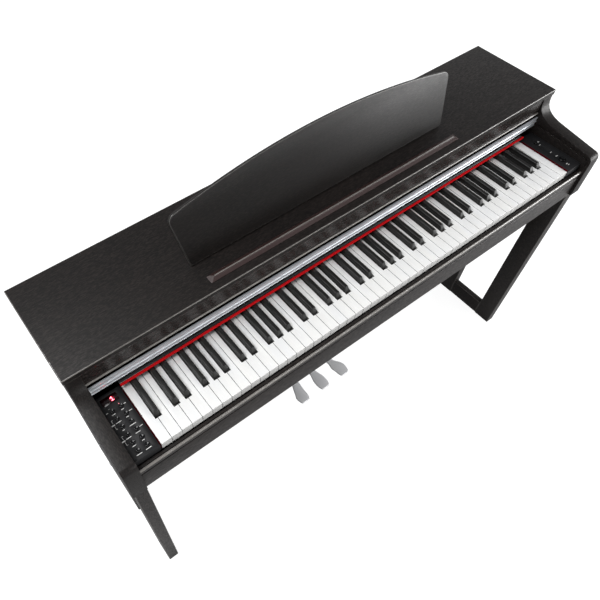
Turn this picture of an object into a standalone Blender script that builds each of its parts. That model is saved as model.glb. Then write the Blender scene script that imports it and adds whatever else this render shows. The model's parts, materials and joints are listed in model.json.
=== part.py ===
"""Digital piano on its wooden stand: 88 keys, sliding key cover, folding music rest and three pedals.

Metres, +Z up, +X to the player's right, +Y to the back. The origin is the middle of the footprint.
Heights are worked from the top of the white keys, and depths from the front edge of the white keys.
"""

import math

import bmesh
import bpy
from mathutils import Matrix, Vector

FIT = 0.0003
OVERLAP = 0.001

# Keyboard
WHITE_KEYS = 52
WHITE_PITCH = 0.0235
KEY_GAP = 0.0009
WHITE_DEPTH = 0.021
BLACK_WIDTH = 0.0137
BLACK_TOP_WIDTH = 0.0098
BLACK_HEIGHT = 0.0115
BLACK_START = 0.0515
BLACK_FRONT_SLOPE = 0.0065
BLACK_SIDE_GAP = 0.0008
BLACK_FRONT_GAP = 0.0015
KEY_DIP = 0.010
KEY_PIVOT_BACK = 0.250
KEY_BODY_BACK = 0.157
STUB_THICK = 0.006
STUB_DROP = 0.003
COMB_BAR = 0.004
COMB_PITCH = 0.007
COMB_FIRST = 0.162
COMB_CLEAR = 0.0005
COMB_POST_HALF = 0.003
COMB_ORDER = ("D", "E", "F", "G", "C#", "D#", "F#", "G#", "A", "B", "C", "A#")

# Heights
KEY_TOP = 0.7326
HOUSING_RISE = 0.1103
TOP_THICK = 0.0148
TOP_EDGE = 0.0015
BOARD_EDGE = 0.0012
APRON_FALL = 0.1085
APRON_TOP_FALL = 0.041
SLIP_FALL = 0.022
SLIP_GAP = 0.0025
BEAD_RADIUS = 0.0020
NOSING_HEIGHT = 0.0135
ARM_FALL = 0.100
BED_THICK = 0.018
BED_FALL = 0.095

# Depths
NOSE_AHEAD = 0.022
BODY_DEPTH = 0.4386
TOP_SETBACK = 0.1607
APRON_AHEAD = 0.0143
APRON_THICK = 0.018
BACK_THICK = 0.012

# Widths and stand
PANEL_WIDTH = 0.057
PANEL_GAP = 0.0022
PANEL_DROP = 0.002
PANEL_SKIN = 0.003
ARM_THICK = 0.0325
TOP_OVERHANG = 0.0033
LEG_THICK = 0.029
LEG_DEPTH = 0.0563
RUNNER_THICK = 0.0195
RUNNER_HEIGHT = 0.0596
RUNNER_LIFT = 0.002
REAR_PANEL_START = 0.161
REAR_PANEL_DEPTH = 0.239
STAND_BOARD_THICK = 0.018
STAND_BOARD_START = 0.2903
STAND_BOARD_LOW = 0.030
STAND_BOARD_HIGH = 0.460

# Key cover
COVER_SLOPE = math.radians(2.9)
COVER_THICK = 0.005
COVER_LENGTH = 0.175
COVER_RISE = 0.0225
COVER_TONGUE = 0.0025
GROOVE_DEPTH = 0.004
GROOVE_CLEAR = 0.0006
GROOVE_TURN = 0.012
GROOVE_TURN_BACK = 0.000
GROOVE_END_FALL = 0.006
GROOVE_BACK_CLEAR = 0.006
RAIL_FRONT = 0.1545
RAIL_THICK = 0.0055
RAIL_LOW = 0.0195
RAIL_HIGH = 0.0450
RAIL_END_GAP = 0.0008
RAIL_FLUTES = 5
RAIL_FLUTE_DEPTH = 0.0005
RAIL_BULGE = 0.0022

# Fascia
FASCIA_THICK = 0.010
FASCIA_LOW = 0.0505
FASCIA_SETBACK = 0.0030
FASCIA_LIP = 0.0030

# Stop rail with its felt
STOP_FRONT = 0.143
STOP_DEPTH = 0.0135
STOP_LOW = 0.0128
STOP_HEIGHT = 0.0042

# Music rest
REST_FRONT = 0.2396
REST_HALF_FOOT = 0.364
REST_HALF_HEAD = 0.380
REST_CORNER_HEIGHT = 0.128
REST_CREST = 0.166
REST_SAG = 0.031
REST_SAG_HALF = 0.350
REST_CORNER = 0.014
REST_THICK = 0.007
REST_LEAN = math.radians(16.3)
REST_HINGE_RISE = 0.0045
REST_FOOT = 0.0035
KNUCKLE_RADIUS = 0.0020
HINGE_HALF = 0.330
HINGE_LEAF = 0.0012
HINGE_LEAF_DEPTH = 0.016
HINGE_WEB_HALF = 0.0008
LEDGE_FRONT = 0.181
LEDGE_DEPTH = 0.019
LEDGE_HALF = 0.362
LEDGE_HEIGHT = 0.007
LEDGE_EDGE = 0.0018

# Pedals
PEDAL_PITCH = 0.0725
PEDAL_TIP = 0.115
PEDAL_ROOT_HALF = 0.0115
PEDAL_WIDE_HALF = 0.0205
PEDAL_TIP_HALF = 0.0145
PEDAL_SWEEP = 0.012
PEDAL_TOP = 0.0676
PEDAL_THICK = 0.005
PEDAL_PIVOT = 0.270
PEDAL_PRESS = math.radians(5.5)
PEDAL_BEHIND_PIVOT = 0.008
PEDAL_NECK_AHEAD = 0.015
PEDAL_SPOON_SHARE = 0.36
PEDAL_SLOT_CLEAR = 0.002
PEDAL_BOX_HALF = 0.140
PEDAL_BOX_FRONT = 0.203
PEDAL_BOX_LOW = 0.020
PEDAL_BOX_HIGH = 0.110
PEDAL_BOX_WALL = 0.004
FOOT_RADIUS = 0.016
FOOT_STEM = 0.005
FOOT_DISC = 0.008
FOOT_BACK = 0.040
FOOT_STEM_CLEAR = 0.008

# Controls
BUTTON_RADIUS = 0.0046
BUTTON_RISE = 0.0028
BUTTON_DEPTH = 0.007
BUTTON_CLEAR = 0.0005
BUTTON_EDGE = 0.0008
BUTTON_FIRST = 0.0165
BUTTON_PITCH = 0.0197
BUTTON_ROWS = 6
BUTTON_COLUMNS = (0.0185, 0.0385)
DISPLAY_WIDTH = 0.036
DISPLAY_DEPTH = 0.018
DISPLAY_FRONT = 0.131
DISPLAY_OUTSIDE = 0.008
DISPLAY_THICK = 0.0012
KNOB_RADIUS = 0.0085
KNOB_RISE = 0.0040
KNOB_SHAFT = 0.0030
KNOB_MARK = 0.0008
KNOB_BACK = 0.037
POWER_BACK = 0.119
RIGHT_CONTROLS_IN = 0.029

# Inside the case
SPEAKER_RADIUS = 0.060
SPEAKER_HOLE = 0.050
SPEAKER_BACK = 0.337
SPEAKER_SIDE = 0.450
SPEAKER_LIFT = 0.058
SPEAKER_RIM = 0.004
CONE_DEPTH = 0.030
CONE_CAP = 0.012
MAGNET_RADIUS = 0.030
MAGNET_HEIGHT = 0.020
FRAME_PLATE = 0.003
FRAME_FALL = 0.062
FRAME_FRONT = 0.006
FRAME_LIP = 0.002
FRAME_FOOT = 0.020
GUIDE_RAIL = 0.010
GUIDE_CLEAR = 0.003
PIVOT_CLEAR = 0.002
PIVOT_RAIL = 0.010
PIVOT_FALL = 0.001
BOARD_WIDTH = 0.300
BOARD_DEPTH = 0.100
BOARD_START = 0.278
BOARD_THICK = 0.0016
BOARD_STANDOFF = 0.005
POST_HALF = 0.004
POST_INSET = 0.010
BOARD_PARTS = (
    (-0.10, -0.05, 0.02, 0.06, 0.020),
    (-0.02, 0.02, 0.03, 0.07, 0.003),
    (0.06, 0.12, 0.02, 0.05, 0.012),
)
INLET_SIDE = 0.520
INLET_WIDTH = 0.030
INLET_HEIGHT = 0.022
INLET_DEPTH = 0.026
INLET_FALL = 0.050
INLET_RIM = 0.004
SOCKET_DEPTH = 0.014

# Worked out
KEY_FRONT_Y = NOSE_AHEAD - BODY_DEPTH / 2
BACK_Y = BODY_DEPTH / 2
KEYBOARD_HALF = WHITE_KEYS * WHITE_PITCH / 2
PANEL_INNER = KEYBOARD_HALF + PANEL_GAP
PANEL_OUTER = PANEL_INNER + PANEL_WIDTH
ARM_INNER = PANEL_OUTER + FIT
ARM_OUTER = ARM_INNER + ARM_THICK
TOP_HALF = ARM_OUTER + TOP_OVERHANG
TOP_SURFACE = KEY_TOP + HOUSING_RISE
TOP_UNDER = TOP_SURFACE - TOP_THICK
BED_TOP = KEY_TOP - BED_FALL + BED_THICK
CASE_BACK_Y = BACK_Y - BACK_THICK
PANEL_TOP = KEY_TOP - PANEL_DROP

WHITE_PLASTIC = ("ivory_key_plastic", (0.86, 0.86, 0.83), 0.25, 0.0)
BLACK_PLASTIC = ("black_key_plastic", (0.02, 0.02, 0.02), 0.45, 0.0)
PANEL_PLASTIC = ("panel_plastic", (0.016, 0.016, 0.016), 0.5, 0.0)
WOOD = ("dark_rosewood_laminate", (0.030, 0.024, 0.022), 0.45, 0.0)
LEDGE_WOOD = ("red_brown_trim", (0.10, 0.045, 0.04), 0.4, 0.0)
ALUMINIUM = ("fluted_aluminium", (0.80, 0.82, 0.84), 0.28, 1.0)
STEEL = ("plain_steel", (0.55, 0.55, 0.56), 0.35, 1.0)
PEDAL_METAL = ("satin_pedal_metal", (0.62, 0.63, 0.64), 0.3, 1.0)
RED_FELT = ("red_felt", (0.55, 0.02, 0.02), 0.95, 0.0)
DISPLAY_GLASS = ("display_window", (0.05, 0.005, 0.005), 0.12, 0.0)
BOARD_GREEN = ("circuit_board", (0.02, 0.12, 0.05), 0.5, 0.0)
SPEAKER_BLACK = ("speaker_black", (0.02, 0.02, 0.022), 0.6, 0.0)


def from_keys(depth):
    """The Y of a point so far behind the front edge of the white keys."""
    return KEY_FRONT_Y + depth


def clear_scene():
    for obj in list(bpy.data.objects):
        bpy.data.objects.remove(obj, do_unlink=True)


def material(name, colour, roughness, metallic):
    found = bpy.data.materials.get(name)
    if found:
        return found
    made = bpy.data.materials.new(name)
    made.use_nodes = True
    shader = made.node_tree.nodes["Principled BSDF"]
    shader.inputs["Base Color"].default_value = (*colour, 1.0)
    shader.inputs["Roughness"].default_value = roughness
    shader.inputs["Metallic"].default_value = metallic
    return made


def helpers():
    """The collection of cutters and other shapes that aren't part of the piano."""
    found = bpy.data.collections.get("helpers")
    if not found:
        found = bpy.data.collections.new("helpers")
        bpy.context.scene.collection.children.link(found)
    return found


def add_object(name, data, finish):
    obj = bpy.data.objects.new(name, data)
    if finish is None:
        helpers().objects.link(obj)
        obj.hide_render = True
        obj.display_type = "WIRE"
    else:
        bpy.context.scene.collection.objects.link(obj)
        data.materials.append(material(*finish))
    return obj


def fill_box(target, low, high):
    """Adds one box to a bmesh, and returns its corner vertices."""
    middle = (Vector(low) + Vector(high)) / 2
    size = Vector(high) - Vector(low)
    place = Matrix.Translation(middle) @ Matrix.Diagonal((*size, 1.0))
    return bmesh.ops.create_cube(target, size=1.0, matrix=place)["verts"]


def boxes(name, corners, finish=None):
    """One object made of boxes, each given as its low and high corners."""
    shape = bmesh.new()
    for low, high in corners:
        fill_box(shape, low, high)
    data = bpy.data.meshes.new(name)
    shape.to_mesh(data)
    shape.free()
    return add_object(name, data, finish)


def box(name, low, high, finish=None):
    return boxes(name, [(low, high)], finish)


def rod(name, place, radius, length, axis="Z", finish=None, sides=24):
    """A cylinder centred on place, along one of the axes."""
    turn = {
        "Z": Matrix.Identity(4),
        "X": Matrix.Rotation(math.pi / 2, 4, "Y"),
        "Y": Matrix.Rotation(math.pi / 2, 4, "X"),
    }[axis]
    shape = bmesh.new()
    bmesh.ops.create_cone(
        shape, cap_ends=True, segments=sides, radius1=radius, radius2=radius, depth=length, matrix=turn
    )
    data = bpy.data.meshes.new(name)
    shape.to_mesh(data)
    shape.free()
    obj = add_object(name, data, finish)
    obj.location = place
    return obj


def outline_mesh(name, points, thickness):
    """The mesh of a flat outline in the XY plane, thickened to both sides of it."""
    curve = bpy.data.curves.new(name, "CURVE")
    curve.dimensions = "2D"
    curve.fill_mode = "BOTH"
    curve.extrude = thickness / 2
    spline = curve.splines.new("POLY")
    spline.points.add(len(points) - 1)
    for spot, point in zip(spline.points, points):
        spot.co = (point[0], point[1], 0.0, 1.0)
    spline.use_cyclic_u = True
    drawn = bpy.data.objects.new(name, curve)
    bpy.context.scene.collection.objects.link(drawn)
    graph = bpy.context.evaluated_depsgraph_get()
    data = bpy.data.meshes.new_from_object(drawn.evaluated_get(graph))
    bpy.data.objects.remove(drawn, do_unlink=True)
    bpy.data.curves.remove(curve)
    shape = bmesh.new()
    shape.from_mesh(data)
    bmesh.ops.remove_doubles(shape, verts=shape.verts, dist=0.00001)
    bmesh.ops.recalc_face_normals(shape, faces=shape.faces)
    shape.to_mesh(data)
    shape.free()
    return data


def side_profile(name, points, x_low, x_high, finish=None):
    """A YZ outline pushed along X from x_low to x_high."""
    data = outline_mesh(name, points, x_high - x_low)
    data.transform(Matrix(((0, 0, 1, 0), (1, 0, 0, 0), (0, 1, 0, 0), (0, 0, 0, 1))))
    obj = add_object(name, data, finish)
    obj.location = ((x_low + x_high) / 2, 0.0, 0.0)
    return obj


def plan_outline(name, points, z_low, z_high, finish=None):
    """An XY outline pushed along Z from z_low to z_high."""
    obj = add_object(name, outline_mesh(name, points, z_high - z_low), finish)
    obj.location = (0.0, 0.0, (z_low + z_high) / 2)
    return obj


def combine(obj, other, operation, itself=False):
    step = obj.modifiers.new(f"{operation.lower()} {other.name}", "BOOLEAN")
    step.operation = operation
    step.object = other
    step.solver = "EXACT"
    step.use_self = itself
    return obj


def bezier(start, pull_start, pull_end, end, steps):
    """Points along a cubic curve, without its first point."""
    found = []
    for step in range(1, steps + 1):
        t = step / steps
        weights = ((1 - t) ** 3, 3 * t * (1 - t) ** 2, 3 * t * t * (1 - t), t**3)
        corners = (start, pull_start, pull_end, end)
        found.append(tuple(sum(w * c[axis] for w, c in zip(weights, corners)) for axis in (0, 1)))
    return found


def arc(centre, radius, start, end, steps):
    """Points round an arc, angles in degrees."""
    turns = [math.radians(start + (end - start) * step / steps) for step in range(steps + 1)]
    return [(centre[0] + radius * math.cos(turn), centre[1] + radius * math.sin(turn)) for turn in turns]


def soften(obj, width, segments=1):
    """Rounds the object's edges. The sharp ones are those over 50 degrees."""
    step = obj.modifiers.new("soft edges", "BEVEL")
    step.width = width
    step.segments = segments
    step.limit_method = "ANGLE"
    step.angle_limit = math.radians(50)
    return obj


# Keyboard


def note_of(white):
    return "ABCDEFG"[white % 7]


def has_black_after(white):
    return note_of(white) in "ACDFG" and white < WHITE_KEYS - 1


def black_centre(white):
    """The X of the middle of the black key that follows this white key."""
    lean = {"A": 0.0025, "C": -0.0019, "D": 0.0019, "F": -0.0025, "G": 0.0}[note_of(white)]
    return (white + 1) * WHITE_PITCH - KEYBOARD_HALF + lean


def white_tail(white):
    """The low and high X of a white key's narrow part, between the black keys beside it."""
    low = white * WHITE_PITCH - KEYBOARD_HALF + KEY_GAP / 2
    high = low + WHITE_PITCH - KEY_GAP
    half = BLACK_WIDTH / 2 + BLACK_SIDE_GAP
    if white and has_black_after(white - 1):
        low = black_centre(white - 1) + half
    if has_black_after(white):
        high = black_centre(white) - half
    return low, high


def fill_stub(target, low, high, bar_depth):
    """The thin rear of a key, back to its pivot, with the post down to its comb bar."""
    top = KEY_TOP - STUB_DROP
    under = top - STUB_THICK
    fill_box(
        target,
        (low, from_keys(KEY_BODY_BACK) - OVERLAP, under),
        (high, from_keys(KEY_PIVOT_BACK), top),
    )
    middle = (low + high) / 2
    fill_box(
        target,
        (middle - COMB_POST_HALF, from_keys(bar_depth), bar_top() - OVERLAP),
        (middle + COMB_POST_HALF, from_keys(bar_depth + COMB_BAR), under + OVERLAP),
    )
    return middle


def bar_top():
    """The top of the comb bars, clear of every pressed key above them."""
    press = (KEY_PIVOT_BACK - COMB_FIRST) * math.tan(key_press())
    return KEY_TOP - STUB_DROP - STUB_THICK - press - COMB_CLEAR


def key_press():
    """The turn that takes the front of a white key down by its travel."""
    return math.asin(KEY_DIP / KEY_PIVOT_BACK)


def fill_white(target, white):
    low = white * WHITE_PITCH - KEYBOARD_HALF + KEY_GAP / 2
    high = low + WHITE_PITCH - KEY_GAP
    tail_low, tail_high = white_tail(white)
    notch = from_keys(BLACK_START - BLACK_FRONT_GAP)
    under = KEY_TOP - WHITE_DEPTH
    fill_box(target, (low, from_keys(0.0), under), (high, notch, KEY_TOP))
    fill_box(target, (tail_low, notch - OVERLAP, under), (tail_high, from_keys(KEY_BODY_BACK), KEY_TOP))
    return tail_low, tail_high


def fill_black(target, white):
    """A black key, narrower at the top and sloped at the front."""
    middle = black_centre(white)
    half = BLACK_WIDTH / 2
    base = KEY_TOP - STUB_DROP - STUB_THICK
    fill_box(
        target,
        (middle - half, from_keys(BLACK_START), base),
        (middle + half, from_keys(KEY_BODY_BACK), KEY_TOP + OVERLAP),
    )
    corners = fill_box(
        target,
        (middle - half, from_keys(BLACK_START), KEY_TOP),
        (middle + half, from_keys(KEY_BODY_BACK), KEY_TOP + BLACK_HEIGHT),
    )
    for corner in corners:
        if corner.co.z > KEY_TOP + BLACK_HEIGHT / 2:
            corner.co.x = middle + (corner.co.x - middle) * BLACK_TOP_WIDTH / BLACK_WIDTH
            if corner.co.y < from_keys(BLACK_START + BLACK_FRONT_SLOPE):
                corner.co.y += BLACK_FRONT_SLOPE
    return middle - half, middle + half


def key_group(name, whites, fill_key, order, finish):
    """Every key of one note, joined behind the felt by a thin bar, turning on the rear pivot."""
    shape = bmesh.new()
    bar_depth = COMB_FIRST + order * COMB_PITCH
    middles = []
    for white in whites:
        low, high = fill_key(shape, white)
        middles.append(fill_stub(shape, low, high, bar_depth))
    data = bpy.data.meshes.new(name)
    shape.to_mesh(data)
    shape.free()
    bar = box(
        name + " bar",
        (middles[0] - COMB_POST_HALF, from_keys(bar_depth), bar_top() - COMB_BAR),
        (middles[-1] + COMB_POST_HALF, from_keys(bar_depth + COMB_BAR), bar_top()),
    )
    keys = add_object(name, data, finish)
    combine(keys, bar, "UNION", itself=True)
    return on_axis(keys, (0.0, from_keys(KEY_PIVOT_BACK), KEY_TOP - STUB_DROP - STUB_THICK / 2))


def on_axis(obj, place):
    """Moves the object's origin to a point on its joint, with its shape left where it is."""
    shift = Vector(place) - obj.location
    obj.data.transform(Matrix.Translation(-shift))
    obj.location = place
    return obj


def keyboard():
    """The twelve note groups. The notes with eight keys have their bars farthest back."""
    for order, note in enumerate(COMB_ORDER):
        whites = [white for white in range(WHITE_KEYS) if note_of(white) == note[0]]
        if note.endswith("#"):
            whites = [white for white in whites if has_black_after(white)]
            key_group(f"black_keys_{note[0].lower()}_sharp", whites, fill_black, order, BLACK_PLASTIC)
        else:
            key_group(f"white_keys_{note.lower()}", whites, fill_white, order, WHITE_PLASTIC)


def key_frame():
    """The steel tray that the keys turn on: a plate, a front rail and the rear pivot rail."""
    low = KEY_TOP - FRAME_FALL
    plate_top = low + FRAME_PLATE
    half = KEYBOARD_HALF
    back = from_keys(KEY_PIVOT_BACK + PIVOT_CLEAR + PIVOT_RAIL)
    plate = box("key_frame", (-half, from_keys(FRAME_FRONT), low), (half, back, plate_top), STEEL)
    guide = from_keys(FRAME_FRONT + FRAME_LIP)
    front = box(
        "front guide rail",
        (-half, guide, plate_top - OVERLAP),
        (half, guide + GUIDE_RAIL, KEY_TOP - WHITE_DEPTH - KEY_DIP - GUIDE_CLEAR),
    )
    rear = box(
        "pivot rail",
        (-half, from_keys(KEY_PIVOT_BACK + PIVOT_CLEAR), plate_top - OVERLAP),
        (half, back, KEY_TOP - PIVOT_FALL),
    )
    combine(plate, front, "UNION")
    combine(plate, rear, "UNION")
    feet = boxes(
        "frame feet",
        [
            (
                (x - FRAME_FOOT / 2, from_keys(y), BED_TOP + FIT),
                (x + FRAME_FOOT / 2, from_keys(y + FRAME_FOOT), low + OVERLAP),
            )
            for x in (-0.5, -0.17, 0.17, 0.5)
            for y in (0.03, 0.22)
        ],
    )
    combine(plate, feet, "UNION")


def stop_rail():
    """The bar over the keys' rear, faced with felt, that stops them rising."""
    box(
        "key_stop_rail",
        (-PANEL_INNER + FIT, from_keys(STOP_FRONT), KEY_TOP + STOP_LOW),
        (PANEL_INNER - FIT, from_keys(STOP_FRONT + STOP_DEPTH), KEY_TOP + STOP_LOW + STOP_HEIGHT),
        RED_FELT,
    )


# Case


def arm_outline():
    """The side of an arm: nose, long slope, hollow curve up to the top, and plain back."""
    key = (KEY_FRONT_Y, KEY_TOP)
    low_front = (-NOSE_AHEAD, -ARM_FALL)
    nose_low = (-0.0205, 0.007)
    nose_high = (-0.008, 0.0245)
    slope_end = (0.105, 0.0404)
    neck = (TOP_SETBACK + 0.001, 0.088)
    points = [low_front, nose_low]
    points += bezier(nose_low, (-0.020, 0.017), (-0.0155, 0.0234), nose_high, 5)
    points += [slope_end]
    points += bezier(slope_end, (0.140, 0.046), (TOP_SETBACK + 0.001, 0.058), neck, 8)
    points += [(TOP_SETBACK + 0.001, HOUSING_RISE - TOP_THICK - FIT)]
    back = CASE_BACK_Y + BACK_THICK - KEY_FRONT_Y
    points += [(back, HOUSING_RISE - TOP_THICK - FIT), (back, -ARM_FALL)]
    return [(key[0] + y, key[1] + z) for y, z in points]


def groove_outline():
    """The track of the cover's edge: straight and sloping, with a turn down at the front."""
    half = COVER_THICK / 2 + GROOVE_CLEAR
    start = (RAIL_FRONT + RAIL_THICK, COVER_RISE + COVER_THICK / 2)
    slope = math.tan(COVER_SLOPE)
    back = RAIL_FRONT + RAIL_THICK + COVER_LENGTH + GROOVE_BACK_CLEAR

    def height(depth):
        return start[1] + (depth - start[0]) * slope

    turn = (GROOVE_TURN_BACK, height(GROOVE_TURN_BACK) - GROOVE_TURN)
    middle = GROOVE_TURN_BACK - GROOVE_TURN
    points = [(back, height(back) - half), (back, height(back) + half)]
    points += arc(turn, GROOVE_TURN + half, 90, 165, 5)
    points += [(middle - half, -GROOVE_END_FALL), (middle + half, -GROOVE_END_FALL)]
    points += reversed(arc(turn, GROOVE_TURN - half, 90, 165, 4))
    return [(from_keys(depth), KEY_TOP + rise) for depth, rise in points]


def arms():
    for side, name in ((-1, "left"), (1, "right")):
        low, high = sorted((side * ARM_INNER, side * ARM_OUTER))
        arm = side_profile(name + "_arm", arm_outline(), low, high, WOOD)
        mouth, floor = sorted((side * (ARM_INNER - OVERLAP), side * (ARM_INNER + GROOVE_DEPTH)))
        combine(arm, side_profile(name + " groove", groove_outline(), mouth, floor), "DIFFERENCE")


def case_boards():
    inner = PANEL_OUTER
    top = box(
        "top_panel",
        (-TOP_HALF, from_keys(TOP_SETBACK), TOP_UNDER),
        (TOP_HALF, BACK_Y, TOP_SURFACE),
        WOOD,
    )
    soften(top, TOP_EDGE)
    bed = box(
        "key_bed",
        (-inner, from_keys(-APRON_AHEAD + APRON_THICK + FIT), BED_TOP - BED_THICK),
        (inner, CASE_BACK_Y - FIT, BED_TOP),
        WOOD,
    )
    for side in (-1, 1):
        place = (side * SPEAKER_SIDE, from_keys(SPEAKER_BACK), BED_TOP - BED_THICK / 2)
        combine(bed, rod(f"speaker hole {side}", place, SPEAKER_HOLE, BED_THICK * 2), "DIFFERENCE")
    back = box(
        "back_panel",
        (-inner, CASE_BACK_Y, BED_TOP - BED_THICK),
        (inner, BACK_Y, TOP_UNDER - FIT),
        WOOD,
    )
    inlet = INLET_WIDTH / 2 + FIT
    inlet_middle = KEY_TOP - INLET_FALL
    hole = box(
        "inlet hole",
        (INLET_SIDE - inlet, CASE_BACK_Y - OVERLAP, inlet_middle - INLET_HEIGHT / 2 - FIT),
        (INLET_SIDE + inlet, BACK_Y + OVERLAP, inlet_middle + INLET_HEIGHT / 2 + FIT),
    )
    combine(back, hole, "DIFFERENCE")


def power_inlet():
    middle = KEY_TOP - INLET_FALL
    rim = INLET_RIM
    body = box(
        "power_inlet",
        (INLET_SIDE - INLET_WIDTH / 2, BACK_Y - INLET_DEPTH, middle - INLET_HEIGHT / 2),
        (INLET_SIDE + INLET_WIDTH / 2, BACK_Y, middle + INLET_HEIGHT / 2),
        PANEL_PLASTIC,
    )
    socket = box(
        "inlet socket",
        (INLET_SIDE - INLET_WIDTH / 2 + rim, BACK_Y - SOCKET_DEPTH, middle - INLET_HEIGHT / 2 + rim),
        (INLET_SIDE + INLET_WIDTH / 2 - rim, BACK_Y + OVERLAP, middle + INLET_HEIGHT / 2 - rim),
    )
    combine(body, socket, "DIFFERENCE")


def front_rails():
    inner = PANEL_OUTER
    apron_front = from_keys(-APRON_AHEAD)
    apron_top = KEY_TOP - APRON_TOP_FALL
    apron = box(
        "apron",
        (-inner, apron_front, KEY_TOP - APRON_FALL),
        (inner, apron_front + APRON_THICK, apron_top),
        WOOD,
    )
    soften(apron, BOARD_EDGE)
    slip_top = KEY_TOP - SLIP_FALL
    back = from_keys(-SLIP_GAP)
    bead = BEAD_RADIUS
    bead_back = apron_front + bead * 2
    under = apron_front + bead * 1.1
    profile = [
        (under, apron_top + FIT),
        (back, apron_top + FIT),
        (back, slip_top),
        (bead_back + bead * 0.6, slip_top),
        (bead_back + bead * 0.4, slip_top - bead * 1.25),
        (bead_back, slip_top - bead * 1.1),
    ]
    profile += arc((apron_front + bead, slip_top - bead * 1.1), bead, 60, 180, 4)
    profile += [(apron_front, slip_top - NOSING_HEIGHT), (under, slip_top - NOSING_HEIGHT - bead * 0.75)]
    side_profile("key_slip", profile, -inner, inner, WOOD)


def fascia():
    """The board between the keys and the top, with a rounded lip along its foot."""
    front = from_keys(TOP_SETBACK + FASCIA_SETBACK)
    foot = KEY_TOP + FASCIA_LOW
    lip = (front, foot + FASCIA_LIP)
    points = arc(lip, FASCIA_LIP, 90, 270, 6)
    points += [(front + FASCIA_THICK, foot), (front + FASCIA_THICK, TOP_UNDER - FIT), (front, TOP_UNDER - FIT)]
    side_profile("fascia", points, -PANEL_OUTER, PANEL_OUTER, WOOD)


def panel_shell(name, side):
    """A plastic end moulding: a thin top with a front and side skirt, open below and behind."""
    low, high = sorted((side * PANEL_INNER, side * PANEL_OUTER))
    back = from_keys(STOP_FRONT + STOP_DEPTH)
    behind_apron = from_keys(APRON_THICK - APRON_AHEAD + FIT)
    over_apron = KEY_TOP - APRON_TOP_FALL + FIT
    shell = box(name, (low, from_keys(0.0), over_apron), (high, back, PANEL_TOP), PANEL_PLASTIC)
    skirt = box(
        name + " skirt",
        (low, behind_apron, BED_TOP + FIT),
        (high, back, over_apron + OVERLAP),
    )
    hollow = box(
        name + " hollow",
        (low + PANEL_SKIN, behind_apron + PANEL_SKIN, BED_TOP - OVERLAP),
        (high - PANEL_SKIN, back + OVERLAP, PANEL_TOP - PANEL_SKIN),
    )
    combine(shell, skirt, "UNION")
    return combine(shell, hollow, "DIFFERENCE")


def push_button(name, place, shell):
    """A round button in its own bore. place is the middle of its mouth on the panel."""
    bore = rod(name + " bore", place, BUTTON_RADIUS + BUTTON_CLEAR, PANEL_SKIN * 4, sides=16)
    combine(shell, bore, "DIFFERENCE")
    length = BUTTON_DEPTH + BUTTON_RISE
    middle = (place[0], place[1], place[2] + BUTTON_RISE - length / 2)
    button = rod(name, middle, BUTTON_RADIUS, length, finish=PANEL_PLASTIC, sides=16)
    soften(button, BUTTON_EDGE)


def left_controls():
    shell = panel_shell("left_control_panel", -1)
    for column, inset in enumerate(BUTTON_COLUMNS):
        for row in range(BUTTON_ROWS):
            number = column * BUTTON_ROWS + row + 1
            place = (-PANEL_INNER - inset, from_keys(BUTTON_FIRST + row * BUTTON_PITCH), PANEL_TOP)
            push_button(f"left_button_{number}", place, shell)
    low_x = -PANEL_OUTER + DISPLAY_OUTSIDE
    low_y = from_keys(DISPLAY_FRONT)
    recess = box(
        "display recess",
        (low_x - FIT, low_y - FIT, PANEL_TOP - DISPLAY_THICK - FIT),
        (low_x + DISPLAY_WIDTH + FIT, low_y + DISPLAY_DEPTH + FIT, PANEL_TOP + OVERLAP),
    )
    combine(shell, recess, "DIFFERENCE")
    box(
        "display_window",
        (low_x, low_y, PANEL_TOP - DISPLAY_THICK),
        (low_x + DISPLAY_WIDTH, low_y + DISPLAY_DEPTH, PANEL_TOP),
        DISPLAY_GLASS,
    )


def right_controls():
    shell = panel_shell("right_control_panel", 1)
    side = PANEL_INNER + RIGHT_CONTROLS_IN
    push_button("power_button", (side, from_keys(POWER_BACK), PANEL_TOP), shell)
    place = (side, from_keys(KNOB_BACK), PANEL_TOP)
    bore = rod("knob bore", place, KNOB_SHAFT + BUTTON_CLEAR, PANEL_SKIN * 4, sides=16)
    combine(shell, bore, "DIFFERENCE")
    disc = (side, place[1], PANEL_TOP + FIT + KNOB_RISE / 2)
    knob = rod("volume_knob", disc, KNOB_RADIUS, KNOB_RISE, finish=PANEL_PLASTIC, sides=32)
    mark = box(
        "knob mark",
        (side - KNOB_MARK, place[1] + KNOB_RADIUS * 0.45, disc[2] + KNOB_RISE / 2 - KNOB_MARK),
        (side + KNOB_MARK, place[1] + KNOB_RADIUS * 1.1, disc[2] + KNOB_RISE),
    )
    length = KNOB_RISE * 3
    shaft = rod("knob shaft", (side, place[1], disc[2] - length / 2), KNOB_SHAFT, length, sides=16)
    combine(knob, shaft, "UNION")
    combine(knob, mark, "DIFFERENCE")


# Key cover


def key_cover():
    """The thin lid that slides out over the keys, with its fluted metal rail in front."""
    front = from_keys(RAIL_FRONT + RAIL_THICK + FIT) + COVER_THICK * math.sin(COVER_SLOPE)
    half = ARM_INNER + COVER_TONGUE
    rise = KEY_TOP + COVER_RISE
    lid = box("key_cover", (-half, 0.0, 0.0), (half, COVER_LENGTH, COVER_THICK), WOOD)
    lid.data.transform(Matrix.Rotation(COVER_SLOPE, 4, "X"))
    lid.location = (0.0, front, rise)
    rail_half = ARM_INNER - RAIL_END_GAP
    side_profile("cover_rail", rail_outline(), -rail_half, rail_half, ALUMINIUM)


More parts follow.
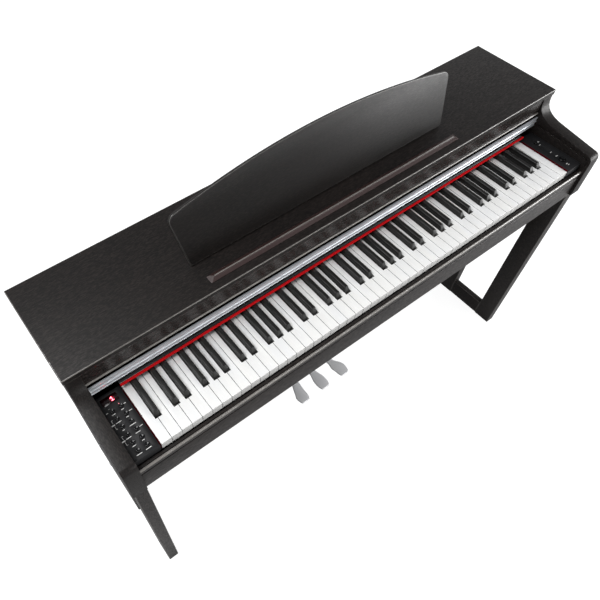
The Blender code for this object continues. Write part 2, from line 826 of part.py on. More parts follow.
def rail_outline():
    """The rail's section: a bulging face with five shallow flutes and a square back."""
    front = from_keys(RAIL_FRONT)
    back = front + RAIL_THICK
    low = KEY_TOP + RAIL_LOW
    high = KEY_TOP + RAIL_HIGH
    edge = 0.001
    points = [(back, low), (back, high)]
    for step in range(RAIL_FLUTES * 2 + 1):
        height = high - edge - (high - low - edge * 2) * step / (RAIL_FLUTES * 2)
        across = (height - low) / (high - low) * 2 - 1
        dip = RAIL_FLUTE_DEPTH if step % 2 else 0.0
        points.append((front + RAIL_BULGE * across * across + dip, height))
    return points


# Music rest


def rest_outline():
    """The board seen from the front, from its foot up: rounded shoulders and a long arched head."""
    shoulder = REST_HALF_HEAD - REST_CORNER
    points = [(-REST_HALF_FOOT, 0.0), (REST_HALF_FOOT, 0.0)]
    corner = arc((shoulder, REST_CORNER_HEIGHT - REST_CORNER), REST_CORNER, 0, 75, 4)
    points += corner
    steps = 16
    for step in range(steps + 1):
        x = REST_SAG_HALF * (1 - 2 * step / steps)
        points.append((x, REST_CREST - REST_SAG * (x / REST_SAG_HALF) ** 2))
    points += [(-x, height) for x, height in reversed(corner)]
    return points


def rest_axis():
    """The hinge line of the music rest, just behind its foot. The foot's front edge stays at REST_FRONT."""
    ahead = (REST_THICK + KNUCKLE_RADIUS + FIT) * math.cos(REST_LEAN) + REST_FOOT * math.sin(REST_LEAN)
    return from_keys(REST_FRONT + ahead), TOP_SURFACE + REST_HINGE_RISE


def music_rest():
    """The board stands just in front of its hinge pin, so it clears the pin at every angle."""
    data = outline_mesh("music_rest", rest_outline(), REST_THICK)
    stand_up = Matrix.Rotation(math.pi / 2, 4, "X")
    step_ahead = Matrix.Translation((0.0, -REST_THICK / 2 - KNUCKLE_RADIUS - FIT, -REST_FOOT))
    data.transform(Matrix.Rotation(-REST_LEAN, 4, "X") @ step_ahead @ stand_up)
    rest = add_object("music_rest", data, WOOD)
    rest.location = (0.0, *rest_axis())


def rest_hinge():
    """The long hinge's pin, with the web and leaf that fix it to the top."""
    y, z = rest_axis()
    pin = rod("rest_hinge", (0.0, y, z), KNUCKLE_RADIUS, HINGE_HALF * 2, "X", STEEL, 12)
    floor = TOP_SURFACE + FIT
    web = HINGE_WEB_HALF
    leaf = boxes(
        "hinge leaf",
        [
            ((-HINGE_HALF, y - web, floor), (HINGE_HALF, y + HINGE_LEAF_DEPTH, floor + HINGE_LEAF)),
            ((-HINGE_HALF, y - web, floor + HINGE_LEAF / 2), (HINGE_HALF, y + web, z)),
        ],
    )
    combine(pin, leaf, "UNION", itself=True)


def music_ledge():
    front = from_keys(LEDGE_FRONT)
    foot = TOP_SURFACE + FIT
    top = foot + LEDGE_HEIGHT
    profile = [
        (front, foot),
        (front + LEDGE_DEPTH, foot),
        (front + LEDGE_DEPTH, foot + LEDGE_EDGE),
        (front + LEDGE_DEPTH * 0.55, top),
        (front + LEDGE_DEPTH * 0.38, top),
        (front, foot + LEDGE_EDGE),
    ]
    side_profile("music_ledge", profile, -LEDGE_HALF, LEDGE_HALF, LEDGE_WOOD)


# Stand


def stand_sides():
    leg_top = KEY_TOP - ARM_FALL - FIT
    leg_front = from_keys(-APRON_AHEAD)
    rear_front = from_keys(REAR_PANEL_START)
    for side, name in ((-1, "left"), (1, "right")):
        low, high = sorted((side * ARM_INNER, side * (ARM_INNER + LEG_THICK)))
        leg = box(
            name + "_front_leg", (low, leg_front, 0.0), (high, leg_front + LEG_DEPTH, leg_top), WOOD
        )
        soften(leg, BOARD_EDGE)
        rear = box(
            name + "_rear_panel",
            (low, rear_front, 0.0),
            (high, rear_front + REAR_PANEL_DEPTH, leg_top),
            WOOD,
        )
        soften(rear, BOARD_EDGE)
        runner_low, runner_high = sorted((side * ARM_INNER, side * (ARM_INNER + RUNNER_THICK)))
        box(
            name + "_runner",
            (runner_low, leg_front + LEG_DEPTH + FIT, RUNNER_LIFT),
            (runner_high, rear_front - FIT, RUNNER_HEIGHT),
            WOOD,
        )


def stand_board():
    start = from_keys(STAND_BOARD_START)
    board = box(
        "stand_back_board",
        (-PANEL_OUTER, start, STAND_BOARD_LOW),
        (PANEL_OUTER, start + STAND_BOARD_THICK, STAND_BOARD_HIGH),
        WOOD,
    )
    soften(board, BOARD_EDGE)


# Pedals


def pedal_outline(lean):
    """A pedal seen from above: slim root, flared spoon and a blunt tip that leans to one side."""
    root = from_keys(PEDAL_PIVOT + PEDAL_BEHIND_PIVOT)
    neck = from_keys(PEDAL_BOX_FRONT - PEDAL_NECK_AHEAD)
    tip = from_keys(PEDAL_TIP)
    sweep = PEDAL_SWEEP * lean
    wide = tip + (neck - tip) * PEDAL_SPOON_SHARE
    right = [(PEDAL_ROOT_HALF, root), (PEDAL_ROOT_HALF, neck)]
    right += bezier(
        (PEDAL_ROOT_HALF, neck),
        (PEDAL_ROOT_HALF + 0.001, neck - 0.018),
        (PEDAL_WIDE_HALF + sweep, wide + 0.020),
        (PEDAL_WIDE_HALF + sweep, wide),
        6,
    )
    right += bezier(
        (PEDAL_WIDE_HALF + sweep, wide),
        (PEDAL_WIDE_HALF + sweep, wide - 0.012),
        (PEDAL_TIP_HALF + 0.003 + sweep, tip + 0.001),
        (PEDAL_TIP_HALF - 0.002 + sweep, tip),
        5,
    )
    left = [(-x + 2 * sweep * bend(y, neck, wide), y) for x, y in reversed(right)]
    return right + left


def bend(y, neck, wide):
    """How far a pedal's middle has swept aside at this Y: none behind the neck, all of it at the spoon."""
    return min(max((neck - y) / (neck - wide), 0.0), 1.0)


def pedals():
    for place, name in ((-1, "soft_pedal"), (0, "sostenuto_pedal"), (1, "sustain_pedal")):
        outline = [(x + place * PEDAL_PITCH, y) for x, y in pedal_outline(place)]
        pedal = plan_outline(name, outline, PEDAL_TOP - PEDAL_THICK, PEDAL_TOP, PEDAL_METAL)
        on_axis(pedal, (place * PEDAL_PITCH, from_keys(PEDAL_PIVOT), PEDAL_TOP - PEDAL_THICK / 2))


def pedal_box():
    """The hollow case behind the pedals, with a slot for each and a bush for the foot."""
    wall = PEDAL_BOX_WALL
    front = from_keys(PEDAL_BOX_FRONT)
    back = from_keys(STAND_BOARD_START) - FIT
    half = PEDAL_BOX_HALF
    case = box("pedal_box", (-half, front, PEDAL_BOX_LOW), (half, back, PEDAL_BOX_HIGH), PANEL_PLASTIC)
    inside = box(
        "pedal box inside",
        (-half + wall, front + wall, PEDAL_BOX_LOW + wall),
        (half - wall, back + OVERLAP, PEDAL_BOX_HIGH - wall),
    )
    combine(case, inside, "DIFFERENCE")
    reach = (PEDAL_PIVOT - PEDAL_BOX_FRONT) * math.tan(PEDAL_PRESS)
    wide = PEDAL_ROOT_HALF + PEDAL_SLOT_CLEAR
    for place in (-1, 0, 1):
        middle = place * PEDAL_PITCH
        slot = box(
            f"pedal slot {place}",
            (middle - wide, front - OVERLAP, PEDAL_TOP - PEDAL_THICK - reach - PEDAL_SLOT_CLEAR),
            (middle + wide, front + wall + OVERLAP, PEDAL_TOP + PEDAL_SLOT_CLEAR),
        )
        combine(case, slot, "DIFFERENCE")
    foot_y = from_keys(PEDAL_BOX_FRONT + FOOT_BACK)
    bush = rod("foot bush", (0.0, foot_y, PEDAL_BOX_LOW), FOOT_STEM + BUTTON_CLEAR, wall * 4, sides=16)
    combine(case, bush, "DIFFERENCE")
    disc = rod(
        "pedal_box_foot", (0.0, foot_y, FOOT_DISC / 2), FOOT_RADIUS, FOOT_DISC, finish=PANEL_PLASTIC, sides=32
    )
    stem_top = PEDAL_BOX_LOW + wall + FOOT_STEM_CLEAR
    stem_low = FOOT_DISC / 2
    stem = rod("foot stem", (0.0, foot_y, (stem_top + stem_low) / 2), FOOT_STEM, stem_top - stem_low, sides=16)
    combine(disc, stem, "UNION")


# Inside the case


def speakers():
    """A turned speaker: rim on the bed, cone up inside it, and magnet on top."""
    magnet_low = SPEAKER_LIFT - MAGNET_HEIGHT
    profile = [
        (0.0, CONE_DEPTH),
        (CONE_CAP, CONE_DEPTH - 0.002),
        (SPEAKER_HOLE - SPEAKER_RIM, 0.002),
        (SPEAKER_HOLE, 0.0),
        (SPEAKER_RADIUS, 0.0),
        (SPEAKER_RADIUS, SPEAKER_RIM),
        (MAGNET_RADIUS + SPEAKER_RIM, magnet_low),
        (MAGNET_RADIUS, magnet_low),
        (MAGNET_RADIUS, SPEAKER_LIFT),
        (0.0, SPEAKER_LIFT),
    ]
    for side, name in ((-1, "left_speaker"), (1, "right_speaker")):
        data = bpy.data.meshes.new(name)
        data.from_pydata([(x, 0.0, z) for x, z in profile], [(n, n + 1) for n in range(len(profile) - 1)], [])
        speaker = add_object(name, data, SPEAKER_BLACK)
        speaker.location = (side * SPEAKER_SIDE, from_keys(SPEAKER_BACK), BED_TOP + FIT)
        turn = speaker.modifiers.new("turn", "SCREW")
        turn.steps = 32
        turn.render_steps = 32
        turn.use_merge_vertices = True
        turn.merge_threshold = 0.0001
        turn.use_normal_calculate = True


def main_board():
    """The circuit board on four posts, with a heat sink and the larger parts."""
    low_y = from_keys(BOARD_START)
    floor = BED_TOP + FIT
    plate = floor + BOARD_STANDOFF
    half = BOARD_WIDTH / 2
    top = plate + BOARD_THICK
    board = box("main_board", (-half, low_y, plate), (half, low_y + BOARD_DEPTH, top), BOARD_GREEN)
    posts = [
        ((x - POST_HALF, y - POST_HALF, floor), (x + POST_HALF, y + POST_HALF, plate + BOARD_THICK / 2))
        for x in (-half + POST_INSET, half - POST_INSET)
        for y in (low_y + POST_INSET, low_y + BOARD_DEPTH - POST_INSET)
    ]
    blocks = [
        ((x_low, low_y + y_low, top - BOARD_THICK / 2), (x_high, low_y + y_high, top + height))
        for x_low, x_high, y_low, y_high, height in BOARD_PARTS
    ]
    combine(board, boxes("board posts and parts", posts + blocks), "UNION")


def main():
    clear_scene()
    case_boards()
    arms()
    front_rails()
    fascia()
    left_controls()
    right_controls()
    stop_rail()
    key_frame()
    keyboard()
    key_cover()
    music_rest()
    rest_hinge()
    music_ledge()
    stand_sides()
    stand_board()
    pedal_box()
    pedals()
    speakers()
    main_board()
    power_inlet()


main()
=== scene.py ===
"""Looks of the digital piano on its stand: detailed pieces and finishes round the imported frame, and its stage."""

import json
import math

import bmesh
import bpy
from mathutils import Matrix, Vector


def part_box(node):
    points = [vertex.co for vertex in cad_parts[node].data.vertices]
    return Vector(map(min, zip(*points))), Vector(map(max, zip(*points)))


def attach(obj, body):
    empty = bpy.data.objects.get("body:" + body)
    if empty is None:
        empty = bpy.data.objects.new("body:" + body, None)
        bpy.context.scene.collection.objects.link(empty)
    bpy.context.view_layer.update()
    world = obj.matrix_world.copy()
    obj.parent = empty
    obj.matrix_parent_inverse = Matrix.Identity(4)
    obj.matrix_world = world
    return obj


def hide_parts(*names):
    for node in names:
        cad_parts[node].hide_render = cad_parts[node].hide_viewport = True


bl_info = {
    "name": "Digital piano looks",
    "version": (1, 0, 0),
    "blender": (4, 5, 0),
    "location": "View3D > Sidebar > Piano",
    "description": "Builds the detailed pieces, finishes and stage of a digital piano round its packed frame",
    "category": "Object",
}

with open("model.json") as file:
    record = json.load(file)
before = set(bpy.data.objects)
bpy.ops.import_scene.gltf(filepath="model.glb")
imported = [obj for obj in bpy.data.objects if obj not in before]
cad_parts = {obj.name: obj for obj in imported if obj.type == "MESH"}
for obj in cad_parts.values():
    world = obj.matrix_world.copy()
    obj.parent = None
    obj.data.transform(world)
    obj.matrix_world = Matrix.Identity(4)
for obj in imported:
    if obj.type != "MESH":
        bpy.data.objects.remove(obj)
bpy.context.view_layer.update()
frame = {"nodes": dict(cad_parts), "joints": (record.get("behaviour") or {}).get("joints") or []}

WHITE_GROUPS = [f"white_keys_{note}" for note in "abcdefg"]
BLACK_GROUPS = [f"black_keys_{note}_sharp" for note in "acdfg"]
BUTTONS = [f"left_button_{number}" for number in range(1, 13)]
PEDALS = {"soft_pedal": -1, "sostenuto_pedal": 0, "sustain_pedal": 1}
WOOD_SLOT = "dark_rosewood_laminate"

WHITE_KEYS = 52
KEY_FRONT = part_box("white_keys_c")[0].y
KEY_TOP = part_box("white_keys_c")[1].z
KEY_GAP = 0.0009
KEYS_LOW = min(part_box(name)[0].x for name in WHITE_GROUPS) - KEY_GAP / 2
KEYS_HIGH = max(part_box(name)[1].x for name in WHITE_GROUPS) + KEY_GAP / 2
WHITE_PITCH = (KEYS_HIGH - KEYS_LOW) / WHITE_KEYS
OCTAVE = WHITE_PITCH * 7
WHITE_DEPTH = 0.021
NOTCH = 0.05
KEY_BACK = 0.157
PIVOT_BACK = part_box("white_keys_c")[1].y - KEY_FRONT
STUB_TOP = -0.0035
STUB_LOW = -0.0088
STUB_OVERLAP = 0.002
BLACK_WIDTH = 0.0137
BLACK_TOP_WIDTH = 0.0098
BLACK_SLOPE = 0.0065
BLACK_CLEAR = 0.0008
FIT = 0.0003

PANEL_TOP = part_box("left_control_panel")[1].z
JOINTS = {joint["name"]: joint for joint in frame["joints"]}
SHARP = math.radians(38)


def behind(depth):
    """The Y of a point so far behind the front edge of the white keys."""
    return KEY_FRONT + depth


def above(rise):
    """The Z of a point so far above the top of the white keys."""
    return KEY_TOP + rise


def middle_of(node):
    """The X and Y of the middle of a CAD node's box."""
    low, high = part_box(node)
    return (low.x + high.x) / 2, (low.y + high.y) / 2


# Settings that a user would change


def length_setting(name, description, default):
    return bpy.props.FloatProperty(
        name=name, description=description, default=default, min=0.0, max=0.05, precision=5, unit="LENGTH"
    )


def colour_setting(name, description, default):
    return bpy.props.FloatVectorProperty(
        name=name, description=description, default=default, min=0.0, max=1.0, size=3, subtype="COLOR"
    )


def share_setting(name, description, default, largest=1.0):
    return bpy.props.FloatProperty(name=name, description=description, default=default, min=0.0, max=largest)


class PianoFinishes(bpy.types.PropertyGroup):
    """Colours and surface values"""

    laminate_dark: colour_setting("Laminate dark", "Ground colour of the laminate", (0.006, 0.0048, 0.0043))
    laminate_light: colour_setting("Laminate light", "Colour of the laminate's streaks", (0.036, 0.0295, 0.027))
    laminate_gloss: share_setting("Laminate roughness", "Mean roughness of the laminate", 0.44)
    # Painted highlight: the lighter colour given to the boards' rounded edges.
    edge: colour_setting("Laminate edges", "Machined edges of the laminated boards", (0.13, 0.122, 0.112))
    trim: colour_setting("Ledge", "Red-brown strip that holds the books", (0.024, 0.011, 0.01))
    white_key: colour_setting("White keys", "Plastic of the white keys", (0.89, 0.89, 0.87))
    black_key: colour_setting("Black keys", "Plastic of the black keys", (0.005, 0.0046, 0.0042))
    panel: colour_setting("Panels", "Moulded plastic of the control panels", (0.012, 0.012, 0.013))
    felt: colour_setting("Felt", "Felt along the keys", (0.5, 0.009, 0.012))
    rail: colour_setting("Rail", "Metal rail of the key cover", (0.54, 0.57, 0.6))
    pedal: colour_setting("Pedals", "Satin metal of the pedals", (0.95, 0.955, 0.97))
    mark: colour_setting("Marks", "Printed marks on the panels", (0.78, 0.78, 0.74))
    glow: colour_setting("Display", "Light of the display", (1.0, 0.04, 0.1))


class PianoShapes(bpy.types.PropertyGroup):
    """Edge radii and small sizes"""

    top_edge: length_setting("Top edge", "Radius of the top board's edges", 0.0018)
    board_edge: length_setting("Board edge", "Radius of the other boards' edges", 0.0014)
    arm_edge: length_setting("Arm edge", "Radius of the arms' edges", 0.001)
    white_edge: length_setting("White key edge", "Radius of a white key's top edges", 0.0005)
    black_edge: length_setting("Black key edge", "Radius of a black key's top edges", 0.0015)
    screw_head: length_setting("Screw head", "Radius of a case screw's head", 0.0036)
    knuckle: length_setting("Hinge knuckle", "Length of one barrel of the long hinge", 0.012)
    mark_height: length_setting("Mark height", "Height of the printed marks above the panel", 0.00012)


class PianoStage(bpy.types.PropertyGroup):
    """Camera and light"""

    lens: bpy.props.FloatProperty(name="Lens", description="Focal length", default=33.99, min=10.0, max=200.0)
    floor: share_setting("Floor", "Tone of the floor", 0.36)
    floor_glow: share_setting("Floor glow", "Light of the floor itself, which softens shadows", 0.92)
    sky: share_setting("Sky", "Strength of the light from all round", 0.75, 10.0)
    front: share_setting("Front light", "Power of the long light in front, in watts", 76.0, 5000.0)
    side: share_setting("Side light", "Power of the soft light on the right, in watts", 48.0, 5000.0)
    glint: share_setting("Glint light", "Power of the small light behind, in watts", 14.0, 5000.0)
    top: share_setting("Top light", "Power of the large light overhead, in watts", 60.0, 5000.0)


SETTINGS = {"piano_finishes": PianoFinishes, "piano_shapes": PianoShapes, "piano_stage": PianoStage}


def finishes():
    return bpy.context.scene.piano_finishes


# Materials

# The sockets of a colour Mix node, which share their names with its number sockets.
MIX_FIRST, MIX_SECOND, MIX_OUT = 6, 7, 2
GRAIN_ALONG = 120.0
GRAIN_ACROSS = 640.0
BAND_SHARE = 0.12


def tinted(colour, tint):
    """A colour times a number, or times a number for each channel."""
    shares = tint if isinstance(tint, tuple) else (tint,) * 3
    return [value * share for value, share in zip(colour, shares)]


def join(tree, source, socket):
    """Links an output to a socket, or sets the socket where the source is a value."""
    if isinstance(source, bpy.types.NodeSocket):
        tree.links.new(source, socket)
    elif socket.type == "RGBA" and len(source) == 3:
        socket.default_value = (*source, 1.0)
    else:
        socket.default_value = source


def add_node(tree, kind, inputs=None, **settings):
    """A node with its own settings. inputs gives sockets, by name or number, a link or a value."""
    made = tree.nodes.new(kind)
    for name, value in settings.items():
        setattr(made, name, value)
    for key, source in (inputs or {}).items():
        join(tree, source, made.inputs[key])
    return made


def tones(tree, source, dark, light, start, end):
    """Two colours, from start to end of an output."""
    ramp = add_node(tree, "ShaderNodeValToRGB", {"Fac": source})
    for stop, place, colour in zip(ramp.color_ramp.elements, (start, end), (dark, light)):
        stop.position = place
        stop.color = (*colour, 1.0)
    return ramp.outputs["Color"]


class Finish:
    """A material being made, with short ways to add nodes and to feed its shader."""

    def __init__(self, name, colour, roughness, metallic=0.0):
        self.material = bpy.data.materials.new(name)
        self.material.use_nodes = True
        self.tree = self.material.node_tree
        self.shader = self.tree.nodes["Principled BSDF"]
        self.feed(Base_Color=colour, Roughness=roughness, Metallic=metallic)

    def feed(self, **sources):
        """Joins values or outputs to the shader's sockets, by name with _ for a space."""
        for name, source in sources.items():
            join(self.tree, source, self.shader.inputs[name.replace("_", " ")])

    def add(self, kind, inputs=None, **settings):
        return add_node(self.tree, kind, inputs, **settings)

    def place(self, kind="Object"):
        return self.add("ShaderNodeTexCoord").outputs[kind]

    def noise(self, scale, detail=4.0, turn=(0.0, 0.0, 0.0), rough=0.55):
        """Noise on the piece's own coordinates, with one scale or a scale for each direction."""
        scales = scale if isinstance(scale, (tuple, list)) else (scale,) * 3
        stretched = self.add("ShaderNodeMapping", {"Vector": self.place(), "Scale": scales, "Rotation": turn})
        values = {"Vector": stretched.outputs["Vector"], "Scale": 1.0, "Detail": detail, "Roughness": rough}
        return self.add("ShaderNodeTexNoise", values).outputs["Fac"]

    def spread(self, source, low, high, start=0.3, end=0.7, **settings):
        """Maps start..end of an output to low..high."""
        values = {"Value": source, "From Min": start, "From Max": end, "To Min": low, "To Max": high}
        return self.add("ShaderNodeMapRange", values, **settings).outputs["Result"]

    def tones(self, source, dark, light, start=0.35, end=0.72):
        return tones(self.tree, source, dark, light, start, end)

    def mix(self, share, first, second):
        inputs = {0: share, MIX_FIRST: first, MIX_SECOND: second}
        return self.add("ShaderNodeMix", inputs, data_type="RGBA").outputs[MIX_OUT]

    def bump(self, source, strength, distance):
        raised = self.add("ShaderNodeBump", {"Height": source, "Strength": strength, "Distance": distance})
        self.feed(Normal=raised.outputs["Normal"])


def once(make):
    """Makes a finish at its first use. Later uses of its name give the same material."""

    def found(name, *values, **options):
        if name not in bpy.data.materials:
            make(name, *values, **options)
        return bpy.data.materials[name]

    return found


@once
def grained(name, grain, mean, tone):
    """Wood-grain laminate: fine streaks in wide bands, with warm clouds."""
    dark = tinted(finishes().laminate_dark, tone)
    light = tinted(finishes().laminate_light, tone)
    wood = Finish(name, dark, mean)
    fine = [GRAIN_ACROSS] * 3
    fine["XYZ".index(grain)] = GRAIN_ALONG
    streaks = wood.noise(fine, 2.0, rough=0.6)
    bands = wood.noise([scale * BAND_SHARE for scale in fine], 3.0)
    clouds = wood.noise(4.0, 2.0)
    base = wood.tones(streaks, dark, light, 0.44, 0.66)
    banded = wood.mix(wood.spread(bands, 0.0, 0.3), base, dark)
    warm = tinted(light, (0.62, 0.52, 0.46))
    toned = wood.mix(wood.spread(clouds, 0.0, 0.22, 0.4, 0.65), banded, warm)
    wood.feed(Base_Color=toned, Roughness=wood.spread(streaks, mean + 0.1, mean - 0.08))
    # The darker copies, painted shade, also get a weaker specular.
    wood.feed(Specular_IOR_Level=0.36 if tone == 1.0 else 0.26)
    wood.bump(streaks, 0.35, 0.0004)


def laminate(grain, gloss=None, tone=1.0):
    """Dark laminate with its grain along one axis. gloss is a mean roughness other than the usual. A tone below 1
    gives a darker copy with weaker specular: painted shade on the top board, the arms and the music rest.
    """
    mean = finishes().laminate_gloss if gloss is None else gloss
    name = f"laminate_grain_{grain.lower()}_{round(mean * 100)}_{round(tone * 100)}"
    return grained(name, grain, mean, tone)


@once
def edge_highlight_finish(name, share):
    """The boards' rounded edges: glossier than their faces, and painted lighter, a painted highlight along each edge.
    """
    tone = tinted(finishes().edge, share)
    coat = Finish(name, tone, 0.22)
    streaks = coat.noise(60.0)
    coat.feed(Base_Color=coat.tones(streaks, tinted(tone, 0.8), tone))
    coat.feed(Roughness=coat.spread(streaks, 0.18, 0.28), Specular_IOR_Level=0.8)
    coat.bump(streaks, 0.05, 0.0001)


# Painted highlight along the boards' rounded edges.
def laminate_edge():
    return edge_highlight_finish("laminate_edge", 1.0)


# A brighter painted highlight, for the nosing, the fascia's lip and the ledge's ridge.
def bright_edge():
    return edge_highlight_finish("bright_edge", 1.6)


@once
def moulded(name, colour, roughness, grain=2200.0, bump=0.12, specular=0.5):
    """Moulded plastic with a fine texture and a slightly uneven sheen."""
    plastic = Finish(name, colour, roughness)
    texture = plastic.noise(grain, 2.0)
    sheen = plastic.noise(9.0, 3.0)
    lighter = [min(value * 1.35 + 0.002, 1.0) for value in colour]
    plastic.feed(Base_Color=plastic.tones(texture, colour, lighter, 0.35, 0.75))
    plastic.feed(Roughness=plastic.spread(sheen, roughness - 0.04, roughness + 0.06), Specular_IOR_Level=specular)
    plastic.bump(texture, bump, 0.0002)


@once
def key_ivory(name):
    """White key plastic, with painted shade: its front is painted dimmer than its top, and its sides, deep in the
    gaps, painted dark.
    """
    white = finishes().white_key
    ivory = Finish(name, white, 0.24)
    clouds = ivory.noise((42.0, 7.0, 20.0), 2.0)
    top = ivory.tones(clouds, white, tinted(white, (0.972, 0.98, 1.0)), 0.4, 0.62)
    facing = ivory.add("ShaderNodeSeparateXYZ", {"Vector": ivory.place("Normal")}).outputs
    sideways = ivory.add("ShaderNodeMath", {0: facing["X"]}, operation="ABSOLUTE").outputs["Value"]
    # Painted shade: the sides darken to 0.22 of the white, the front faces to 0.62.
    side = ivory.spread(sideways, 0.0, 1.0, 0.75, 0.95)
    front = ivory.spread(facing["Y"], 1.0, 0.0, -0.95, -0.75)
    front_shaded = ivory.mix(front, top, tinted(white, 0.62))
    ivory.feed(Base_Color=ivory.mix(side, front_shaded, tinted(white, 0.22)))
    ivory.feed(Roughness=ivory.spread(ivory.noise((300.0, 30.0, 60.0), 3.0), 0.2, 0.3))
    ivory.bump(ivory.noise((160.0, 60.0, 60.0)), 0.02, 0.0002)


def panel_plastic():
    return moulded("panel_satin", finishes().panel, 0.52, specular=0.3)


@once
def brushed(name, colour, roughness, along="X", metallic=1.0, fine=2600.0, bump=0.12, contrast=0.14):
    """Metal with fine brush lines along one axis."""
    metal = Finish(name, colour, roughness, metallic)
    scale = [fine] * 3
    scale["XYZ".index(along)] = fine / 90.0
    lines = metal.noise(scale, 3.0)
    patches = metal.noise(6.0, 2.0)
    metal.feed(Base_Color=metal.tones(lines, tinted(colour, 1.0 - contrast), colour, 0.35, 0.6))
    metal.feed(Roughness=metal.spread(patches, roughness - 0.04, roughness + 0.07))
    metal.bump(lines, bump, 0.0001)


@once
def felt(name, colour):
    """Pressed wool felt: short crossed fibres and uneven dye."""
    wool = Finish(name, colour, 0.92)
    fibres = wool.noise((420.0, 1900.0, 1900.0), 6.0, (0.0, 0.0, 0.6), 0.7)
    crossed = wool.noise((1900.0, 420.0, 1900.0), 5.0, (0.0, 0.0, -0.5), 0.7)
    first = wool.tones(fibres, tinted(colour, 0.55), colour, 0.3, 0.6)
    wool.feed(Base_Color=wool.mix(crossed, first, colour), Specular_IOR_Level=0.0)
    wool.bump(fibres, 0.5, 0.0005)


@once
def circuit_board(name):
    """Green board with copper tracks under the lacquer."""
    board = Finish(name, (0.012, 0.09, 0.035), 0.35)
    grid = board.add("ShaderNodeMapping", {"Vector": board.place(), "Scale": (180.0, 320.0, 1.0)})
    tracks = {"Color1": (0.01, 0.085, 0.032), "Color2": (0.016, 0.115, 0.045), "Mortar": (0.05, 0.2, 0.08)}
    cells = board.add("ShaderNodeTexBrick", {"Vector": grid.outputs["Vector"], "Scale": 1.0, **tracks})
    board.feed(Base_Color=cells.outputs["Color"])
    board.bump(board.noise(900.0), 0.1, 0.0002)


@once
def glowing(name, colour, strength):
    """A lit segment, with an uneven light through its plastic."""
    lit = Finish(name, colour, 0.4)
    hot = [min(1.0, value + 0.35) for value in colour]
    lit.feed(Emission_Color=lit.tones(lit.noise(700.0, 1.0), colour, hot, 0.3, 0.7), Emission_Strength=strength)


@once
def display_glass(name, centre):
    """Dark red window with the light of the digit behind it fading away from its middle."""
    glass = Finish(name, (0.01, 0.0015, 0.002), 0.16)
    place = {"Vector": glass.place(), "Location": tuple(-value for value in centre)}
    moved = glass.add("ShaderNodeMapping", place).outputs["Vector"]
    away = glass.add("ShaderNodeVectorMath", {0: moved}, operation="LENGTH").outputs["Value"]
    fade = glass.spread(away, 1.0, 0.0, 0.0, 0.0075, interpolation_type="SMOOTHERSTEP")
    glow = glass.mix(fade, (0.0, 0.0, 0.0), finishes().glow)
    glass.feed(Emission_Color=glow, Emission_Strength=0.5)
    glass.feed(Roughness=glass.spread(glass.noise(220.0, 3.0), 0.12, 0.24))


# Mesh helpers


def mesh_from(shape, name):
    """Ends a bmesh: outward faces, smooth shading with sharp corners kept."""
    bmesh.ops.recalc_face_normals(shape, faces=shape.faces)
    for face in shape.faces:
        face.smooth = True
    made = bpy.data.meshes.new(name)
    shape.to_mesh(made)
    shape.free()
    made.set_sharp_from_angle(angle=SHARP)
    return made


def show(name, shape, slot, *nodes, finish, edge=None, body="case"):
    """The finished piece, from a mesh or a bmesh. It rides on a body, takes the given finish, and stands for CAD
    nodes if any are named. Its slot is not used. The faces marked 1 take the edge finish, where there is one."""
    mesh = mesh_from(shape, name) if isinstance(shape, bmesh.types.BMesh) else shape
    marks = [face.material_index for face in mesh.polygons]
    mesh.materials.clear()
    for coat in filter(None, (finish, edge)):
        mesh.materials.append(coat)
    for face, mark in zip(mesh.polygons, marks):
        face.material_index = min(mark, len(mesh.materials) - 1)
    piece = bpy.data.objects.new(name, mesh)
    bpy.context.scene.collection.objects.link(piece)
    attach(piece, body)
    if nodes:
        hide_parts(*nodes)
    return piece


def add_box(shape, low, high):
    """Adds a box to a bmesh and returns its vertices."""
    low, high = Vector(low), Vector(high)
    place = Matrix.Translation((low + high) / 2) @ Matrix.Diagonal((*(high - low), 1.0))
    return bmesh.ops.create_cube(shape, size=1.0, matrix=place)["verts"]


def add_shape(shape, part):
    """Adds one bmesh to another."""
    mesh = bpy.data.meshes.new("part")
    part.to_mesh(mesh)
    part.free()
    shape.from_mesh(mesh)
    bpy.data.meshes.remove(mesh)


def edges_among(verts):
    """The edges whose two ends are both in verts."""
    chosen = set(verts)
    return [edge for edge in {edge for vert in verts for edge in vert.link_edges} if set(edge.verts) <= chosen]


def rise_of(edge):
    return abs(edge.verts[0].co.z - edge.verts[1].co.z)


def round_edges(shape, edges, radius, segments=3):
    """Rounds edges. The new faces take the second finish, where a piece has one."""
    if radius > 0.0:
        made = bmesh.ops.bevel(
            shape, geom=edges, offset=radius, offset_type="OFFSET", segments=segments, profile=0.5, affect="EDGES"
        )
        for face in made["faces"]:
            face.material_index = 1


def rounded_box(low, high, radius, segments=3, shape=None):
    """A box with rounded edges, in a new bmesh or added to one."""
    shape = shape or bmesh.new()
    round_edges(shape, edges_among(add_box(shape, low, high)), radius, segments)
    return shape


def arc(centre, radius, start, end, steps):
    """Points round an arc, angles in degrees. radius may be a pair, for an ellipse."""
    wide, tall = radius if isinstance(radius, tuple) else (radius, radius)
    turns = [math.radians(start + (end - start) * step / steps) for step in range(steps + 1)]
    return [(centre[0] + wide * math.cos(turn), centre[1] + tall * math.sin(turn)) for turn in turns]


def bezier(start, pull_start, pull_end, end, steps):
    """Points along a cubic curve, without its first point."""
    found = []
    for step in range(1, steps + 1):
        t = step / steps
        weights = ((1 - t) ** 3, 3 * t * (1 - t) ** 2, 3 * t * t * (1 - t), t**3)
        corners = (start, pull_start, pull_end, end)
        found.append(tuple(sum(w * c[axis] for w, c in zip(weights, corners)) for axis in (0, 1)))
    return found


